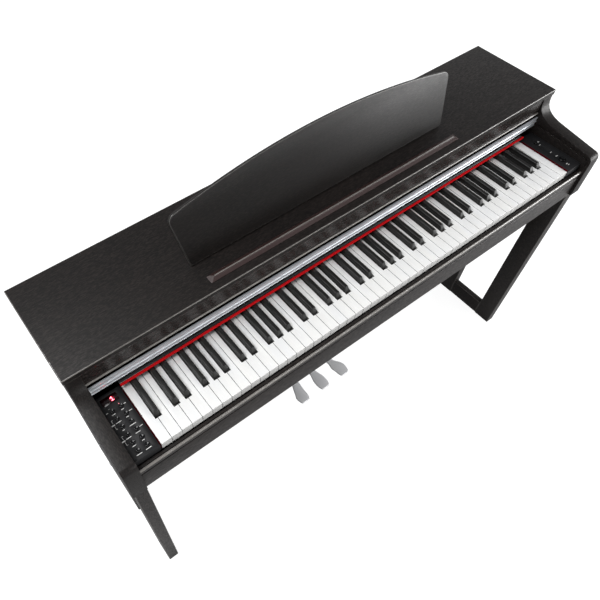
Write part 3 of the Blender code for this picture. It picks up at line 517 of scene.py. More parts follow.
def extruded(outline, low, high, axis):
    """A bmesh of a closed outline pushed along an axis. The outline is YZ for X, and XY for Z."""
    order = {"X": lambda u, v, w: (w, u, v), "Z": lambda u, v, w: (u, v, w)}[axis]
    shape = bmesh.new()
    first = [shape.verts.new(order(u, v, low)) for u, v in outline]
    face = shape.faces.new(first)
    pushed = bmesh.ops.extrude_face_region(shape, geom=[face])["geom"]
    shift = Vector(order(0.0, 0.0, high - low))
    bmesh.ops.translate(shape, vec=shift, verts=[item for item in pushed if isinstance(item, bmesh.types.BMVert)])
    bmesh.ops.recalc_face_normals(shape, faces=shape.faces)
    return shape


def bar(node, outline, bright=None):
    """A bar of one section as long as a CAD node. Faces inside the YZ box bright take the second finish."""
    low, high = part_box(node)
    shape = extruded(outline, low.x, high.x, "X")
    if bright:
        (y_low, z_low), (y_high, z_high) = bright
        for face in shape.faces:
            middle = face.calc_center_median()
            if y_low < middle.y < y_high and z_low < middle.z < z_high and abs(face.normal.x) < 0.5:
                face.material_index = 1
    return shape


def turned(profile, place, steps=32):
    """A bmesh turned about the vertical line through place. The profile is (radius, height) pairs."""
    shape = bmesh.new()
    verts = [shape.verts.new((radius, 0.0, height)) for radius, height in profile]
    edges = [shape.edges.new(pair) for pair in zip(verts, verts[1:])]
    centre, axis = (0.0, 0.0, 0.0), (0.0, 0.0, 1.0)
    bmesh.ops.spin(shape, geom=verts + edges, cent=centre, axis=axis, angle=math.tau, steps=steps)
    bmesh.ops.remove_doubles(shape, verts=shape.verts, dist=1e-6)
    bmesh.ops.recalc_face_normals(shape, faces=shape.faces)
    bmesh.ops.translate(shape, vec=Vector(place), verts=shape.verts)
    return shape


def joined(name, meshes):
    """One mesh of several."""
    shape = bmesh.new()
    for mesh in meshes:
        shape.from_mesh(mesh)
    made = bpy.data.meshes.new(name)
    shape.to_mesh(made)
    shape.free()
    made.set_sharp_from_angle(angle=SHARP)
    return made


def refine(node, finish, radius=0.0, segments=2, edge=None):
    """Keeps a CAD node: its loose triangles are welded, flat faces joined and edges rounded by modifiers."""
    piece = frame["nodes"][node]
    piece.data.materials.clear()
    for coat in filter(None, (finish, edge)):
        piece.data.materials.append(coat)
    piece.modifiers.new("weld", "WELD").merge_threshold = 0.000002
    flat = piece.modifiers.new("join flat faces", "DECIMATE")
    flat.decimate_type = "DISSOLVE"
    flat.angle_limit = math.radians(0.5)
    if radius:
        soft = piece.modifiers.new("soft edges", "BEVEL")
        soft.width = radius
        soft.segments = segments
        soft.limit_method = "ANGLE"
        soft.angle_limit = math.radians(40)
        soft.use_clamp_overlap = True
        soft.harden_normals = False
        soft.material = 1 if edge else -1
    for face in piece.data.polygons:
        face.use_smooth = True
    set_inputs(piece.modifiers.new("smooth by angle", "NODES"), smooth_tree(), {"Angle": SHARP})
    return piece


# Geometry Nodes


def new_tree(name, **sockets):
    """An empty tree with its inputs in order, its input node's outputs, and its output node's socket."""
    tree = bpy.data.node_groups.new(name, "GeometryNodeTree")
    tree.interface.new_socket(name="Geometry", in_out="OUTPUT", socket_type="NodeSocketGeometry")
    for label, kind in sockets.items():
        tree.interface.new_socket(name=label, in_out="INPUT", socket_type=f"NodeSocket{kind}")
    return tree, tree.nodes.new("NodeGroupInput").outputs, tree.nodes.new("NodeGroupOutput").inputs["Geometry"]


def repeat_tree(ring):
    """One shape repeated round a vertical axis or along a line, as real faces with one finish."""
    name = "repeat on a ring" if ring else "repeat in a row"
    if name in bpy.data.node_groups:
        return bpy.data.node_groups[name]
    sockets = {"Shape": "Geometry", "Count": "Int", "Centre" if ring else "Step": "Vector", "Finish": "Material"}
    tree, given, end = new_tree(name, **sockets)
    points = {"Count": given["Count"]}
    points |= {"Start Location": given["Centre"], "Offset": (0.0, 0.0, 0.0)} if ring else {"Offset": given["Step"]}
    line = add_node(tree, "GeometryNodeMeshLine", points, mode="OFFSET")
    copied = {"Points": line.outputs["Mesh"], "Instance": given["Shape"]}
    if ring:
        index = add_node(tree, "GeometryNodeInputIndex").outputs["Index"]
        share = add_node(tree, "ShaderNodeMath", {0: index, 1: given["Count"]}, operation="DIVIDE")
        turn = add_node(tree, "ShaderNodeMath", {0: share.outputs["Value"], 1: math.tau}, operation="MULTIPLY")
        about = add_node(tree, "ShaderNodeCombineXYZ", {"Z": turn.outputs["Value"]})
        copied["Rotation"] = about.outputs["Vector"]
    copies = add_node(tree, "GeometryNodeInstanceOnPoints", copied).outputs["Instances"]
    real = add_node(tree, "GeometryNodeRealizeInstances", {"Geometry": copies}).outputs["Geometry"]
    coat = add_node(tree, "GeometryNodeSetMaterial", {"Geometry": real, "Material": given["Finish"]})
    join(tree, coat.outputs["Geometry"], end)
    return tree


def smooth_tree():
    """Marks edges sharper than an angle as sharp and shades the rest smooth, after the other modifiers."""
    name = "smooth by angle"
    if name in bpy.data.node_groups:
        return bpy.data.node_groups[name]
    tree, given, end = new_tree(name, Shape="Geometry", Angle="Float")
    bend = add_node(tree, "GeometryNodeInputMeshEdgeAngle").outputs["Unsigned Angle"]
    limits = {"A": bend, "B": given["Angle"]}
    over = add_node(tree, "FunctionNodeCompare", limits, data_type="FLOAT", operation="GREATER_THAN")
    flat = add_node(tree, "FunctionNodeBooleanMath", {0: over.outputs["Result"]}, operation="NOT")
    faces = add_node(tree, "GeometryNodeSetShadeSmooth", {"Geometry": given["Shape"]})
    edges = {"Geometry": faces.outputs["Geometry"], "Shade Smooth": flat.outputs["Boolean"]}
    sharp = add_node(tree, "GeometryNodeSetShadeSmooth", edges, domain="EDGE")
    join(tree, sharp.outputs["Geometry"], end)
    return tree


def set_inputs(step, tree, values):
    """Sets a Geometry Nodes modifier's inputs by their identifiers."""
    step.node_group = tree
    for item in tree.interface.items_tree:
        if item.item_type == "SOCKET" and item.in_out == "INPUT" and item.name in values:
            step[item.identifier] = values[item.name]


def repeated(name, shape, ring=False, **values):
    """The plain mesh of one shape repeated by a tree."""
    holder = bpy.data.objects.new(name, mesh_from(shape, name))
    bpy.context.scene.collection.objects.link(holder)
    set_inputs(holder.modifiers.new("repeat", "NODES"), repeat_tree(ring), values)
    graph = bpy.context.evaluated_depsgraph_get()
    made = bpy.data.meshes.new_from_object(holder.evaluated_get(graph))
    holder.modifiers.clear()
    bpy.data.objects.remove(holder, do_unlink=True)
    return made


class Builder:
    """What every operator of a group of pieces shares."""

    def execute(self, context):
        self.build(context.scene.piano_shapes)
        return {"FINISHED"}


# Cabinet


def nosing_outline(low, high):
    """The key slip's section: a flat top, a groove, and a rounded nosing that overhangs the apron."""
    groove = low.y + 0.005
    nose = arc((low.y + 0.004, high.z - 0.0062), (0.004, 0.0056), 88, 180, 9)
    foot = high.z - 0.014
    return (
        [(low.y + 0.0026, low.z), (high.y, low.z), (high.y, high.z - 0.0005)]
        + [(high.y - 0.0005, high.z), (groove + 0.0009, high.z), (groove + 0.0006, high.z - 0.003)]
        + [(groove, high.z - 0.003), (groove - 0.0002, high.z - 0.0008)]
        + nose
        + [(low.y, foot), (low.y + 0.0008, foot - 0.001), (low.y + 0.0026, foot - 0.0012)]
    )


def fascia_outline(low, high):
    """The fascia's section: a round lip along the foot of a flat board."""
    lip = 0.003
    front = low.y + lip
    board = [(high.y, low.z), (high.y, high.z), (front, high.z), (front, low.z + lip * 2 + 0.0006)]
    return arc((front, low.z + lip), lip, 80, 270, 12) + board


class PIANO_OT_cabinet(Builder, bpy.types.Operator):
    """Top, back, bottom, arms, apron, key slip and fascia"""

    bl_idname = "piano.cabinet"
    bl_label = "Cabinet"

    def build(self, shapes):
        # Painted shade: the top board and the arms take a darker copy of the laminate (tone 0.68); the rounded edges
        # take the lighter edge finish, a painted highlight.
        across, top_shaded_laminate, edge = laminate("X"), laminate("X", None, 0.68), laminate_edge()
        top = rounded_box(*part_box("top_panel"), shapes.top_edge, 5)
        show("top_board", top, WOOD_SLOT, "top_panel", finish=top_shaded_laminate, edge=edge)
        apron = rounded_box(*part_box("apron"), shapes.board_edge)
        show("apron_board", apron, WOOD_SLOT, "apron", finish=laminate("X", 0.38))
        low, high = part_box("key_slip")
        # The nosing's round faces take the bright edge finish: a painted highlight line.
        round_nose = ((low.y - FIT, high.z - 0.005), (low.y + 0.004, high.z + FIT))
        slip = bar("key_slip", nosing_outline(low, high), round_nose)
        show("key_slip_nosing", slip, WOOD_SLOT, "key_slip", finish=laminate("X", 0.27), edge=bright_edge())
        low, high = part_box("fascia")
        # The fascia's round lip takes the bright edge finish: a painted highlight line.
        bead = ((low.y - FIT, low.z + 0.0028), (low.y + 0.0031, low.z + 0.0062))
        front = bar("fascia", fascia_outline(low, high), bead)
        show("fascia_board", front, WOOD_SLOT, "fascia", finish=laminate("X", 0.25), edge=bright_edge())
        refine("back_panel", across, shapes.board_edge)
        refine("key_bed", across, shapes.board_edge)
        # The arms take the darker laminate copy, painted shade, and the lighter edge finish, painted highlight.
        for side in ("left", "right"):
            refine(f"{side}_arm", laminate("Y", None, 0.68), shapes.arm_edge, 3, edge)


# Keyboard


def add_stub(shape, low, high):
    """The thin rear of a key that reaches its pivot, between two X values."""
    start = behind(KEY_BACK - STUB_OVERLAP)
    add_box(shape, (low, start, above(STUB_LOW)), (high, behind(PIVOT_BACK), above(STUB_TOP)))
    return shape


def white_key(low, high, tail_low, tail_high):
    """One white key with its narrow tail."""
    edge = bpy.context.scene.piano_shapes.white_edge
    outline = [(low, 0.0), (high, 0.0), (high, NOTCH), (tail_high, NOTCH), (tail_high, KEY_BACK)]
    outline += [(tail_low, KEY_BACK), (tail_low, NOTCH), (low, NOTCH)]
    points = []
    for x, depth in outline:
        point = (round(x, 7), behind(depth))
        if not points or point != points[-1]:
            points.append(point)
    shape = extruded(points, above(-WHITE_DEPTH), above(0.0), "Z")
    bmesh.ops.dissolve_limit(shape, angle_limit=0.001, verts=shape.verts, edges=shape.edges)
    top = [vert for vert in shape.verts if vert.co.z > above(-0.001)]
    front = [
        item
        for item in shape.edges
        if all(vert.co.y < behind(0.001) for vert in item.verts) and rise_of(item) > 0.001
    ]
    round_edges(shape, edges_among(top) + front, edge)
    return add_stub(shape, tail_low + 0.0006, tail_high - 0.0006)


def black_key(middle):
    """A black key: sloping sides and front, and broad rounded top edges."""
    edge = bpy.context.scene.piano_shapes.black_edge
    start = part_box("black_keys_c_sharp")[0].y
    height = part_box("black_keys_c_sharp")[1].z
    half = BLACK_WIDTH / 2
    shape = bmesh.new()
    corners = add_box(shape, (middle - half, start, above(STUB_LOW)), (middle + half, behind(KEY_BACK), height))
    rise = (height - above(STUB_LOW)) / (height - above(0.0))
    for corner in corners:
        if corner.co.z > above(0.0):
            corner.co.x = middle + (corner.co.x - middle) * BLACK_TOP_WIDTH / BLACK_WIDTH
            if corner.co.y < start + 0.001:
                corner.co.y += BLACK_SLOPE * rise * 0.75
    top = [vert for vert in shape.verts if vert.co.z > above(0.001)]
    slope = [
        item
        for item in shape.edges
        if all(vert.co.y < behind(0.1) for vert in item.verts) and rise_of(item) > 0.003
    ]
    round_edges(shape, edges_among(top) + slope, edge, 4)
    return add_stub(shape, middle - half + 0.001, middle + half - 0.001)


def first_and_count(node, width):
    """The low X of a note group's first key, and how many keys it has."""
    low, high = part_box(node)
    return low.x, round((high.x - low.x - width) / OCTAVE) + 1


def black_spans():
    """The low and high X of every black key."""
    spans = []
    for node in BLACK_GROUPS:
        first, count = first_and_count(node, BLACK_WIDTH)
        spans += [(first + OCTAVE * number, first + OCTAVE * number + BLACK_WIDTH) for number in range(count)]
    return spans


def white_runs(node, blacks):
    """A note group's keys as runs of equal shape: [low X of the first, its tail's start and end, count]."""
    width = WHITE_PITCH - KEY_GAP
    first, count = first_and_count(node, width)
    runs = []
    for number in range(count):
        low = first + OCTAVE * number
        high = low + width
        tail_low = max([low] + [end + BLACK_CLEAR for start, end in blacks if start < low < end])
        tail_high = min([high] + [start - BLACK_CLEAR for start, end in blacks if start < high < end])
        tails = (round(tail_low - low, 5), round(tail_high - low, 5))
        if runs and runs[-1][1] == tails:
            runs[-1][2] += 1
        else:
            runs.append([low, tails, 1])
    return runs


class PIANO_OT_keyboard(Builder, bpy.types.Operator):
    """Every key with rounded edges, the felt and bar behind them, and the frame below"""

    bl_idname = "piano.keyboard"
    bl_label = "Keyboard"

    def build(self, shapes):
        blacks = black_spans()
        step = (OCTAVE, 0.0, 0.0)
        ivory = key_ivory("white_key_gloss")
        ebony = moulded("black_key_satin", finishes().black_key, 0.36, 900.0, 0.04)
        for node in WHITE_GROUPS:
            parts = []
            for low, (tail_low, tail_high), count in white_runs(node, blacks):
                key = white_key(low, low + WHITE_PITCH - KEY_GAP, low + tail_low, low + tail_high)
                parts.append(repeated("keys", key, Count=count, Step=step, Finish=ivory))
            row = joined(node + "_row", parts)
            show(node + "_row", row, "ivory_key_plastic", node, finish=ivory, body=node)
        for node in BLACK_GROUPS:
            first, count = first_and_count(node, BLACK_WIDTH)
            keys = repeated("keys", black_key(first + BLACK_WIDTH / 2), Count=count, Step=step, Finish=ebony)
            row = joined(node + "_row", [keys])
            show(node + "_row", row, "black_key_plastic", node, finish=ebony, body=node)
        self.stop_rail()
        self.end_felts()
        refine("key_frame", brushed("frame_steel", (0.55, 0.55, 0.56), 0.4), 0.0006)

    def stop_rail(self):
        """The felt strip over the keys' rear, and the glossy bar that holds it."""
        low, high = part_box("key_stop_rail")
        split = low.y + 0.005
        strip = rounded_box(low, (high.x, split, high.z), 0.0008)
        show("stop_felt", strip, "red_felt", "key_stop_rail", finish=felt("scarlet_felt", finishes().felt))
        rail = rounded_box((low.x, split + FIT / 3, low.z), high, 0.0005, 2)
        gloss = moulded("stop_bar_gloss", (0.01, 0.009, 0.009), 0.14, bump=0.02)
        show("stop_bar", rail, "panel_plastic", finish=gloss)

    def end_felts(self):
        """A thin felt strip down the gap at each end of the keyboard."""
        maroon = felt("maroon_felt", (0.07, 0.003, 0.006))
        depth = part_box("key_stop_rail")[0].y - FIT
        for name, edge in (("left_end_felt", KEYS_LOW), ("right_end_felt", KEYS_HIGH)):
            middle = edge + math.copysign(0.0014, edge)
            low = (middle - 0.0005, behind(0.001), above(-0.02))
            strip = rounded_box(low, (middle + 0.0005, depth, above(0.003)), FIT, 2)
            show(name, strip, "red_felt", finish=maroon)


# Key cover


RAIL_BEADS = ((0.0011, 0.965, 0.001), (0.0011, 0.5, 0.0011), (0.0009, 0.04, 0.0008))


def rail_outline():
    """The metal rail's section: two broad hollows between three narrow beads. A bead is (width, place, height)."""
    low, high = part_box("cover_rail")
    face = low.y + 0.0016
    tall = high.z - low.z
    points = [(high.y, low.z), (high.y, high.z), (face + 0.0008, high.z)]
    count = 64
    for step in range(1, count):
        share = 1.0 - step / count
        lean = 0.0014 * (1.0 - share)
        hollow = 0.0009 * abs(math.sin(share * math.tau))
        bead = sum(rise * math.exp(-(((share - middle) * tall / width) ** 2)) for width, middle, rise in RAIL_BEADS)
        points.append((max(face + hollow + lean * 0.4 - bead, low.y + 0.00005), low.z + tall * share))
    points.append((face + 0.0012, low.z))
    return points


class PIANO_OT_key_cover(Builder, bpy.types.Operator):
    """The sliding lid and its fluted metal rail"""

    bl_idname = "piano.key_cover"
    bl_label = "Key cover"

    def build(self, shapes):
        silver = brushed("rail_aluminium", finishes().rail, 0.36, metallic=0.45, bump=0.003, contrast=0.04)
        rail = bar("cover_rail", rail_outline())
        show("fluted_rail", rail, "fluted_aluminium", "cover_rail", finish=silver, body="key_cover")
        refine("key_cover", laminate("X", 0.3), 0.0008)


# Controls


RIM = 0.0009
KNOB_TEETH = 48
MARK_LIFT = 0.00002
DASH_AHEAD = 0.0079
DASH_SHIFT = -0.0016
INNER_DASHES = (0.012, 0.0052, 0.0105, 0.0135, 0.0052, 0.0062)
OUTER_DASHES = (0.0125, 0.009, 0.011, 0.0048, 0.012, 0.008)


def button(node):
    """A push button with a rim and a dished top."""
    low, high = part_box(node)
    radius = (high.x - low.x) / 2
    top = high.z - low.z
    profile = [(0.0, 0.0), (radius - 0.0004, 0.0), (radius, 0.0004), (radius, top - 0.001)]
    profile += arc((radius - RIM, top - RIM), RIM, 0, 100, 5)
    dish = radius - 0.0011
    profile += [(dish * share, top - 0.001 * (1.0 - share * share)) for share in (0.85, 0.7, 0.55, 0.4, 0.2, 0.0)]
    return turned(profile, (*middle_of(node), low.z), 28)


def knob():
    """The volume knob: a dished disc on its shaft, with small ribs round its side."""
    low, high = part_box("volume_knob")
    radius = (high.x - low.x) / 2
    top = high.z - low.z
    skirt = top - (high.z - PANEL_TOP) + FIT
    profile = [(0.0, 0.0), (0.003, 0.0), (0.003, skirt), (radius, skirt), (radius, top - RIM)]
    profile += arc((radius - RIM, top - RIM), RIM, 0, 90, 4)
    profile += [(radius * 0.72, top - 0.0001), (radius * 0.62, top - 0.0008), (0.0, top - 0.001)]
    place = Vector((*middle_of("volume_knob"), low.z))
    steps = KNOB_TEETH * 2
    shape = turned(profile, place, steps)
    for vert in shape.verts:
        out = (vert.co - place).xy
        if out.length > radius - 0.0002 and vert.co.z < high.z - 0.0006:
            if round(math.atan2(out.y, out.x) / math.tau * steps) % 2:
                vert.co.xy = place.xy + out * 0.965
    return shape


def button_places():
    """The X and depth of each left button."""
    return [(x, y - KEY_FRONT) for x, y in map(middle_of, BUTTONS)]


def left_marks():
    """A dash in front of each button, a few beside them, and two labels with brackets.

    A mark is (x, depth from the keys, length along X, width along Y)."""
    places = button_places()
    dashes = zip(places, INNER_DASHES + OUTER_DASHES)
    marks = [(x + DASH_SHIFT, depth - DASH_AHEAD, long, 0.0012) for (x, depth), long in dashes]
    inner, outer = places[0][0], places[6][0]
    marks += [(inner + 0.0085, 0.1161, 0.0042, 0.0013)]
    marks += [(inner + 0.01, depth, 0.007, 0.0011) for depth in (0.0964, 0.0562)]
    marks += [(outer - 0.0109, 0.1161, 0.0045, 0.0012), (outer - 0.0034, 0.1226, 0.0026, 0.0008)]
    for depth in (0.087, 0.0472):
        marks.append((outer - 0.015, depth, 0.01, 0.0026))
        for side in (-1, 1):
            marks.append((outer - 0.0122, depth + side * 0.0068, 0.0006, 0.0068))
            marks.append((outer - 0.0108, depth + side * 0.0105, 0.0034, 0.0006))
    return marks


def right_marks():
    """The few marks of the right panel."""
    middle = middle_of("volume_knob")[0]
    return [
        (middle + 0.004, 0.1085, 0.0062, 0.0012),
        (middle + 0.0022, 0.0725, 0.006, 0.0012),
        (middle + 0.0022, 0.0545, 0.0068, 0.0016),
        (middle - 0.002, 0.0205, 0.0066, 0.0014),
        (middle - 0.001, 0.0155, 0.005, 0.0011),
    ]


class PIANO_OT_controls(Builder, bpy.types.Operator):
    """Both control panels with their buttons, knob, display and printed marks"""

    bl_idname = "piano.controls"
    bl_label = "Controls"

    def build(self, shapes):
        for side in ("left", "right"):
            refine(f"{side}_control_panel", panel_plastic(), 0.0005)
        gloss = moulded("button_gloss", (0.0025, 0.0025, 0.003), 0.16, 1500.0, 0.01)
        for node in BUTTONS + ["power_button"]:
            show(node + "_cap", button(node), "panel_plastic", node, finish=gloss, body=node)
        show("volume_dial", knob(), "panel_plastic", "volume_knob", finish=gloss, body="volume_knob")
        ink = moulded("printed_ink", finishes().mark, 0.6, 3000.0, 0.05)
        levels = (PANEL_TOP + MARK_LIFT, PANEL_TOP + shapes.mark_height)
        for name, marks in (("left_marks", left_marks()), ("right_marks", right_marks())):
            shape = bmesh.new()
            for x, depth, long, wide in marks:
                low, high = ((x + s * long / 2, behind(depth) + s * wide / 2, z) for s, z in zip((-1, 1), levels))
                add_box(shape, low, high)
            show(name, shape, "panel_plastic", finish=ink)
        self.button_rings()
        self.power_symbol(ink, *levels)
        self.display()

    def button_rings(self):
        """A thin raised ring round each button's bore."""
        shape = bmesh.new()
        section = [(0.0053, 0.0), (0.006, 0.0), (0.0058, FIT), (0.0054, FIT), (0.0053, 0.0)]
        for x, depth in button_places():
            add_shape(shape, turned(section, (x, behind(depth), PANEL_TOP), 28))
        dull = moulded("ring_black", (0.0012, 0.0012, 0.0014), 0.55, bump=0.02)
        show("button_rings", shape, "panel_plastic", finish=dull)

    def power_symbol(self, ink, floor, top):
        """A small open ring with a bar, beside the power button."""
        x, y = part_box("power_button")[1].x + 0.0062, middle_of("power_button")[1]
        outline = arc((x, y), 0.0024, 60, -240, 22) + arc((x, y), 0.0017, -240, 60, 22)
        shape = extruded(outline, floor, top, "Z")
        add_box(shape, (x - 0.0004, y + 0.0008, floor), (x + 0.0004, y + 0.0032, top))
        show("power_symbol", shape, "panel_plastic", finish=ink)

    def display(self):
        """The dark window, its lit digit and the small lamp in front of it."""
        low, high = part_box("display_window")
        middle = Vector((low.x + 0.0233, (low.y + high.y) / 2 - 0.0002, high.z))
        refine("display_window", display_glass("display_glass", middle), 0.0002)
        tall, thick, deep = 0.0094, 0.0014, 0.00015
        lift = high.z + 0.00003
        digit = bmesh.new()
        bars = (
            ((-thick / 2, -tall / 2), (thick / 2, tall / 2)),
            ((-0.003, -tall / 2 - 0.0002), (0.0034, -tall / 2 + 0.001)),
        )
        for (x_low, y_low), (x_high, y_high) in bars:
            low_corner = (middle.x + x_low, middle.y + y_low, lift)
            add_box(digit, low_corner, (middle.x + x_high, middle.y + y_high, lift + deep))
        flag = add_box(digit, (-0.0021, -thick / 2, 0.0), (0.0021, thick / 2, deep))
        turn = Matrix.Translation((middle.x - 0.0018, middle.y + tall / 2 - 0.0018, lift))
        bmesh.ops.transform(digit, matrix=turn @ Matrix.Rotation(math.radians(36), 4, "Z"), verts=flag)
        show("display_digit", digit, "display_window", finish=glowing("digit_light", finishes().glow, 4.5))
        x, depth = button_places()[5]
        dome = [(0.0, 0.0), (0.0009, 0.0), (0.0008, 0.0004), (0.0, 0.0007)]
        lamp = turned(dome, (x - 0.0016, behind(depth + 0.0072), PANEL_TOP), 16)
        show("panel_lamp", lamp, "display_window", finish=glowing("lamp_light", (0.9, 0.1, 0.14), 1.3))


# Music rest


REST_LEAN = math.radians(16.3)
REST_THICK = 0.007
REST_FOOT = 0.0035
REST_SHIFT = -0.006
REST_HALF_FOOT = 0.366
REST_HALF_HEAD = 0.384
REST_CORNER = 0.018
REST_CREST = 0.166
REST_SAG = 0.034
REST_SAG_HALF = 0.35
REST_EDGE = 0.0016
KNUCKLE_RADIUS = 0.002
LEDGE_END_SLOPE = 0.013


def rest_outline():
    """The board from the front: rounded shoulders and one long arched head."""
    shoulder = REST_HALF_HEAD - REST_CORNER
    fall = math.atan(2 * REST_SAG * shoulder / REST_SAG_HALF**2)
    end = shoulder + REST_CORNER * math.sin(fall)
    height = REST_CREST - REST_SAG * (end / REST_SAG_HALF) ** 2 - REST_CORNER * math.cos(fall)
    corner = arc((shoulder, height), REST_CORNER, -8, 90 - math.degrees(fall), 12)
    points = [(-REST_HALF_FOOT, 0.0), (REST_HALF_FOOT, 0.0)] + corner
    steps = 48
    for step in range(1, steps):
        x = end * (1 - 2 * step / steps)
        points.append((x, REST_CREST - REST_SAG * (x / REST_SAG_HALF) ** 2))
    return points + [(-x, height) for x, height in reversed(corner)]


def rest_board():
    """The rounded board, leaning back from just in front of its hinge line."""
    shape = extruded(rest_outline(), -REST_THICK / 2, REST_THICK / 2, "Z")
    round_edges(shape, [edge for edge in shape.edges if rise_of(edge) < 1e-6], REST_EDGE, 4)
    made = mesh_from(shape, "rest_board")
    hinge = Vector(JOINTS["music_rest_fold"]["pos_m"])
    ahead = Matrix.Translation((0.0, -REST_THICK / 2 - KNUCKLE_RADIUS - FIT, -REST_FOOT))
    turn = Matrix.Rotation(-REST_LEAN, 4, "X") @ ahead @ Matrix.Rotation(math.pi / 2, 4, "X")
    made.transform(Matrix.Translation((REST_SHIFT, hinge.y, hinge.z)) @ turn)
    return made


def ledge():
    """The moulded strip for the books: a hipped ridge with sloping ends."""
    low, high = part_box("music_ledge")
    ridge = low.y + (high.y - low.y) * 0.46
    rear, front = (high.y, low.z + 0.0016), (low.y, low.z + 0.0013)
    crest_rear, crest_front = (ridge + 0.0012, high.z), (ridge - 0.0012, high.z)
    outline = [(low.y, low.z), (high.y, low.z), rear]
    outline += bezier(rear, (high.y - 0.003, low.z + 0.003), (ridge + 0.004, high.z - 0.001), crest_rear, 6)
    outline.append(crest_front)
    outline += bezier(crest_front, (ridge - 0.002, high.z - 0.002), (low.y + 0.002, low.z + 0.003), front, 6)
    shape = bar("music_ledge", outline)
    for vert in shape.verts:
        share = max(0.0, (vert.co.z - low.z) / (high.z - low.z))
        vert.co.x -= math.copysign(LEDGE_END_SLOPE * share, vert.co.x)
    # Painted highlight: the ridge's top faces take the bright edge finish.
    for face in shape.faces:
        if face.calc_center_median().z > high.z - 0.0002:
            face.material_index = 1
    return shape


def screw(place, radius, height, up):
    """A round screw head with a crossed recess, facing along up."""
    profile = [(0.0, -0.0006), (radius * 0.9, -0.0006), (radius, 0.0)]
    profile += arc((radius * 0.62, 0.0), (radius * 0.38, height), 8, 90, 5) + [(0.0, height)]
    shape = turned(profile, (0.0, 0.0, 0.0), 20)
    for wide, deep in ((radius * 0.62, radius * 0.14), (radius * 0.14, radius * 0.62)):
        add_box(shape, (-wide, -deep, height - 0.0002), (wide, deep, height + 0.00012))
    turn = Vector((0.0, 0.0, 1.0)).rotation_difference(Vector(up)).to_matrix().to_4x4()
    bmesh.ops.transform(shape, matrix=Matrix.Translation(place) @ turn, verts=shape.verts)
    return shape


def screw_row(name, place, step, count, radius, height, up=(0.0, 0.0, 1.0)):
    """A row of equal screws as one piece."""
    steel = brushed("screw_steel", (0.3, 0.3, 0.31), 0.36, fine=1800.0)
    row = repeated("screws", screw(place, radius, height, up), Count=count, Step=step, Finish=steel)
    show(name, row, "plain_steel", finish=steel)


class PIANO_OT_music_rest(Builder, bpy.types.Operator):
    """The folding rest, its long hinge with knuckles and screws, and the ledge for books"""

    bl_idname = "piano.music_rest"
    bl_label = "Music rest"

    def build(self, shapes):
        # Painted shade: the rest takes a much darker copy of the laminate (tone 0.4); its edges take a dimmed lighter
        # edge finish, a painted highlight.
        dim = {"finish": laminate("X", 0.36, 0.4), "edge": edge_highlight_finish("rest_edge", 0.35)}
        show("rest_board", rest_board(), WOOD_SLOT, "music_rest", body="music_rest", **dim)
        trim = moulded("ledge_trim", finishes().trim, 0.46, 700.0, 0.08)
        show("book_ledge", ledge(), "red_brown_trim", "music_ledge", finish=trim, edge=bright_edge())
        self.hinge(shapes.knuckle)

    def hinge(self, length):
        steel = brushed("hinge_steel", (0.42, 0.42, 0.44), 0.32)
        refine("rest_hinge", steel)
        low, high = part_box("rest_hinge")
        pin = Vector(JOINTS["music_rest_fold"]["pos_m"])
        gap = 0.0006
        radius = KNUCKLE_RADIUS + 0.0001
        count = int((high.x - low.x) // (length + gap))
        barrel = turned([(0.0, 0.0), (radius, 0.0), (radius, length), (0.0, length)], (0.0, 0.0, 0.0), 14)
        first = -(count * (length + gap) - gap) / 2
        lay = Matrix.Translation((first, pin.y, pin.z)) @ Matrix.Rotation(math.pi / 2, 4, "Y")
        bmesh.ops.transform(barrel, matrix=lay, verts=barrel.verts)
        row = repeated("knuckles", barrel, Count=count, Step=(length + gap, 0.0, 0.0), Finish=steel)
        show("hinge_knuckles", row, "plain_steel", finish=steel)
        inset, screws = 0.015, 11
        spot = (low.x + inset, high.y - 0.005, low.z + 0.0012)
        step = ((high.x - low.x - inset * 2) / (screws - 1), 0.0, 0.0)
        screw_row("hinge_screws", spot, step, screws, 0.0022, 0.0004)


# Stand and pedals


class PIANO_OT_stand(Builder, bpy.types.Operator):
    """Legs, runners, rear panels and the board between them"""

    bl_idname = "piano.stand"
    bl_label = "Stand"

    def build(self, shapes):
        edge = shapes.board_edge
        for side, outward in (("left", -1.0), ("right", 1.0)):
            for part, grain in (("front_leg", "Z"), ("rear_panel", "Z"), ("runner", "Y")):
                node = f"{side}_{part}"
                # Their rounded edges take the lighter edge finish: a painted highlight.
                board = rounded_box(*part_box(node), edge)
                show(node + "_board", board, WOOD_SLOT, node, finish=laminate(grain, 0.38), edge=laminate_edge())
            self.side_bolts(side, outward)
        board = rounded_box(*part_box("stand_back_board"), edge)
        show("stand_board", board, WOOD_SLOT, "stand_back_board", finish=laminate("X"))

    def side_bolts(self, side, outward):
        """The bolts through each rear panel into the board between them."""
        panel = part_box(f"{side}_rear_panel")
        low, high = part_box("stand_back_board")
        inset = 0.06
        spot = (panel[outward > 0].x, (low.y + high.y) / 2, low.z + inset)
        step = (0.0, 0.0, (high.z - low.z - inset * 2) / 2)
        screw_row(f"{side}_stand_bolts", spot, step, 3, 0.006, 0.002, (outward, 0.0, 0.0))


PEDAL_TIP = 0.115
PEDAL_NECK = 0.188
PEDAL_ROOT = 0.278
PEDAL_LEAN = 0.012
PEDAL_HALVES = {"neck": 0.0115, "spoon": 0.0205, "tip": 0.0145}


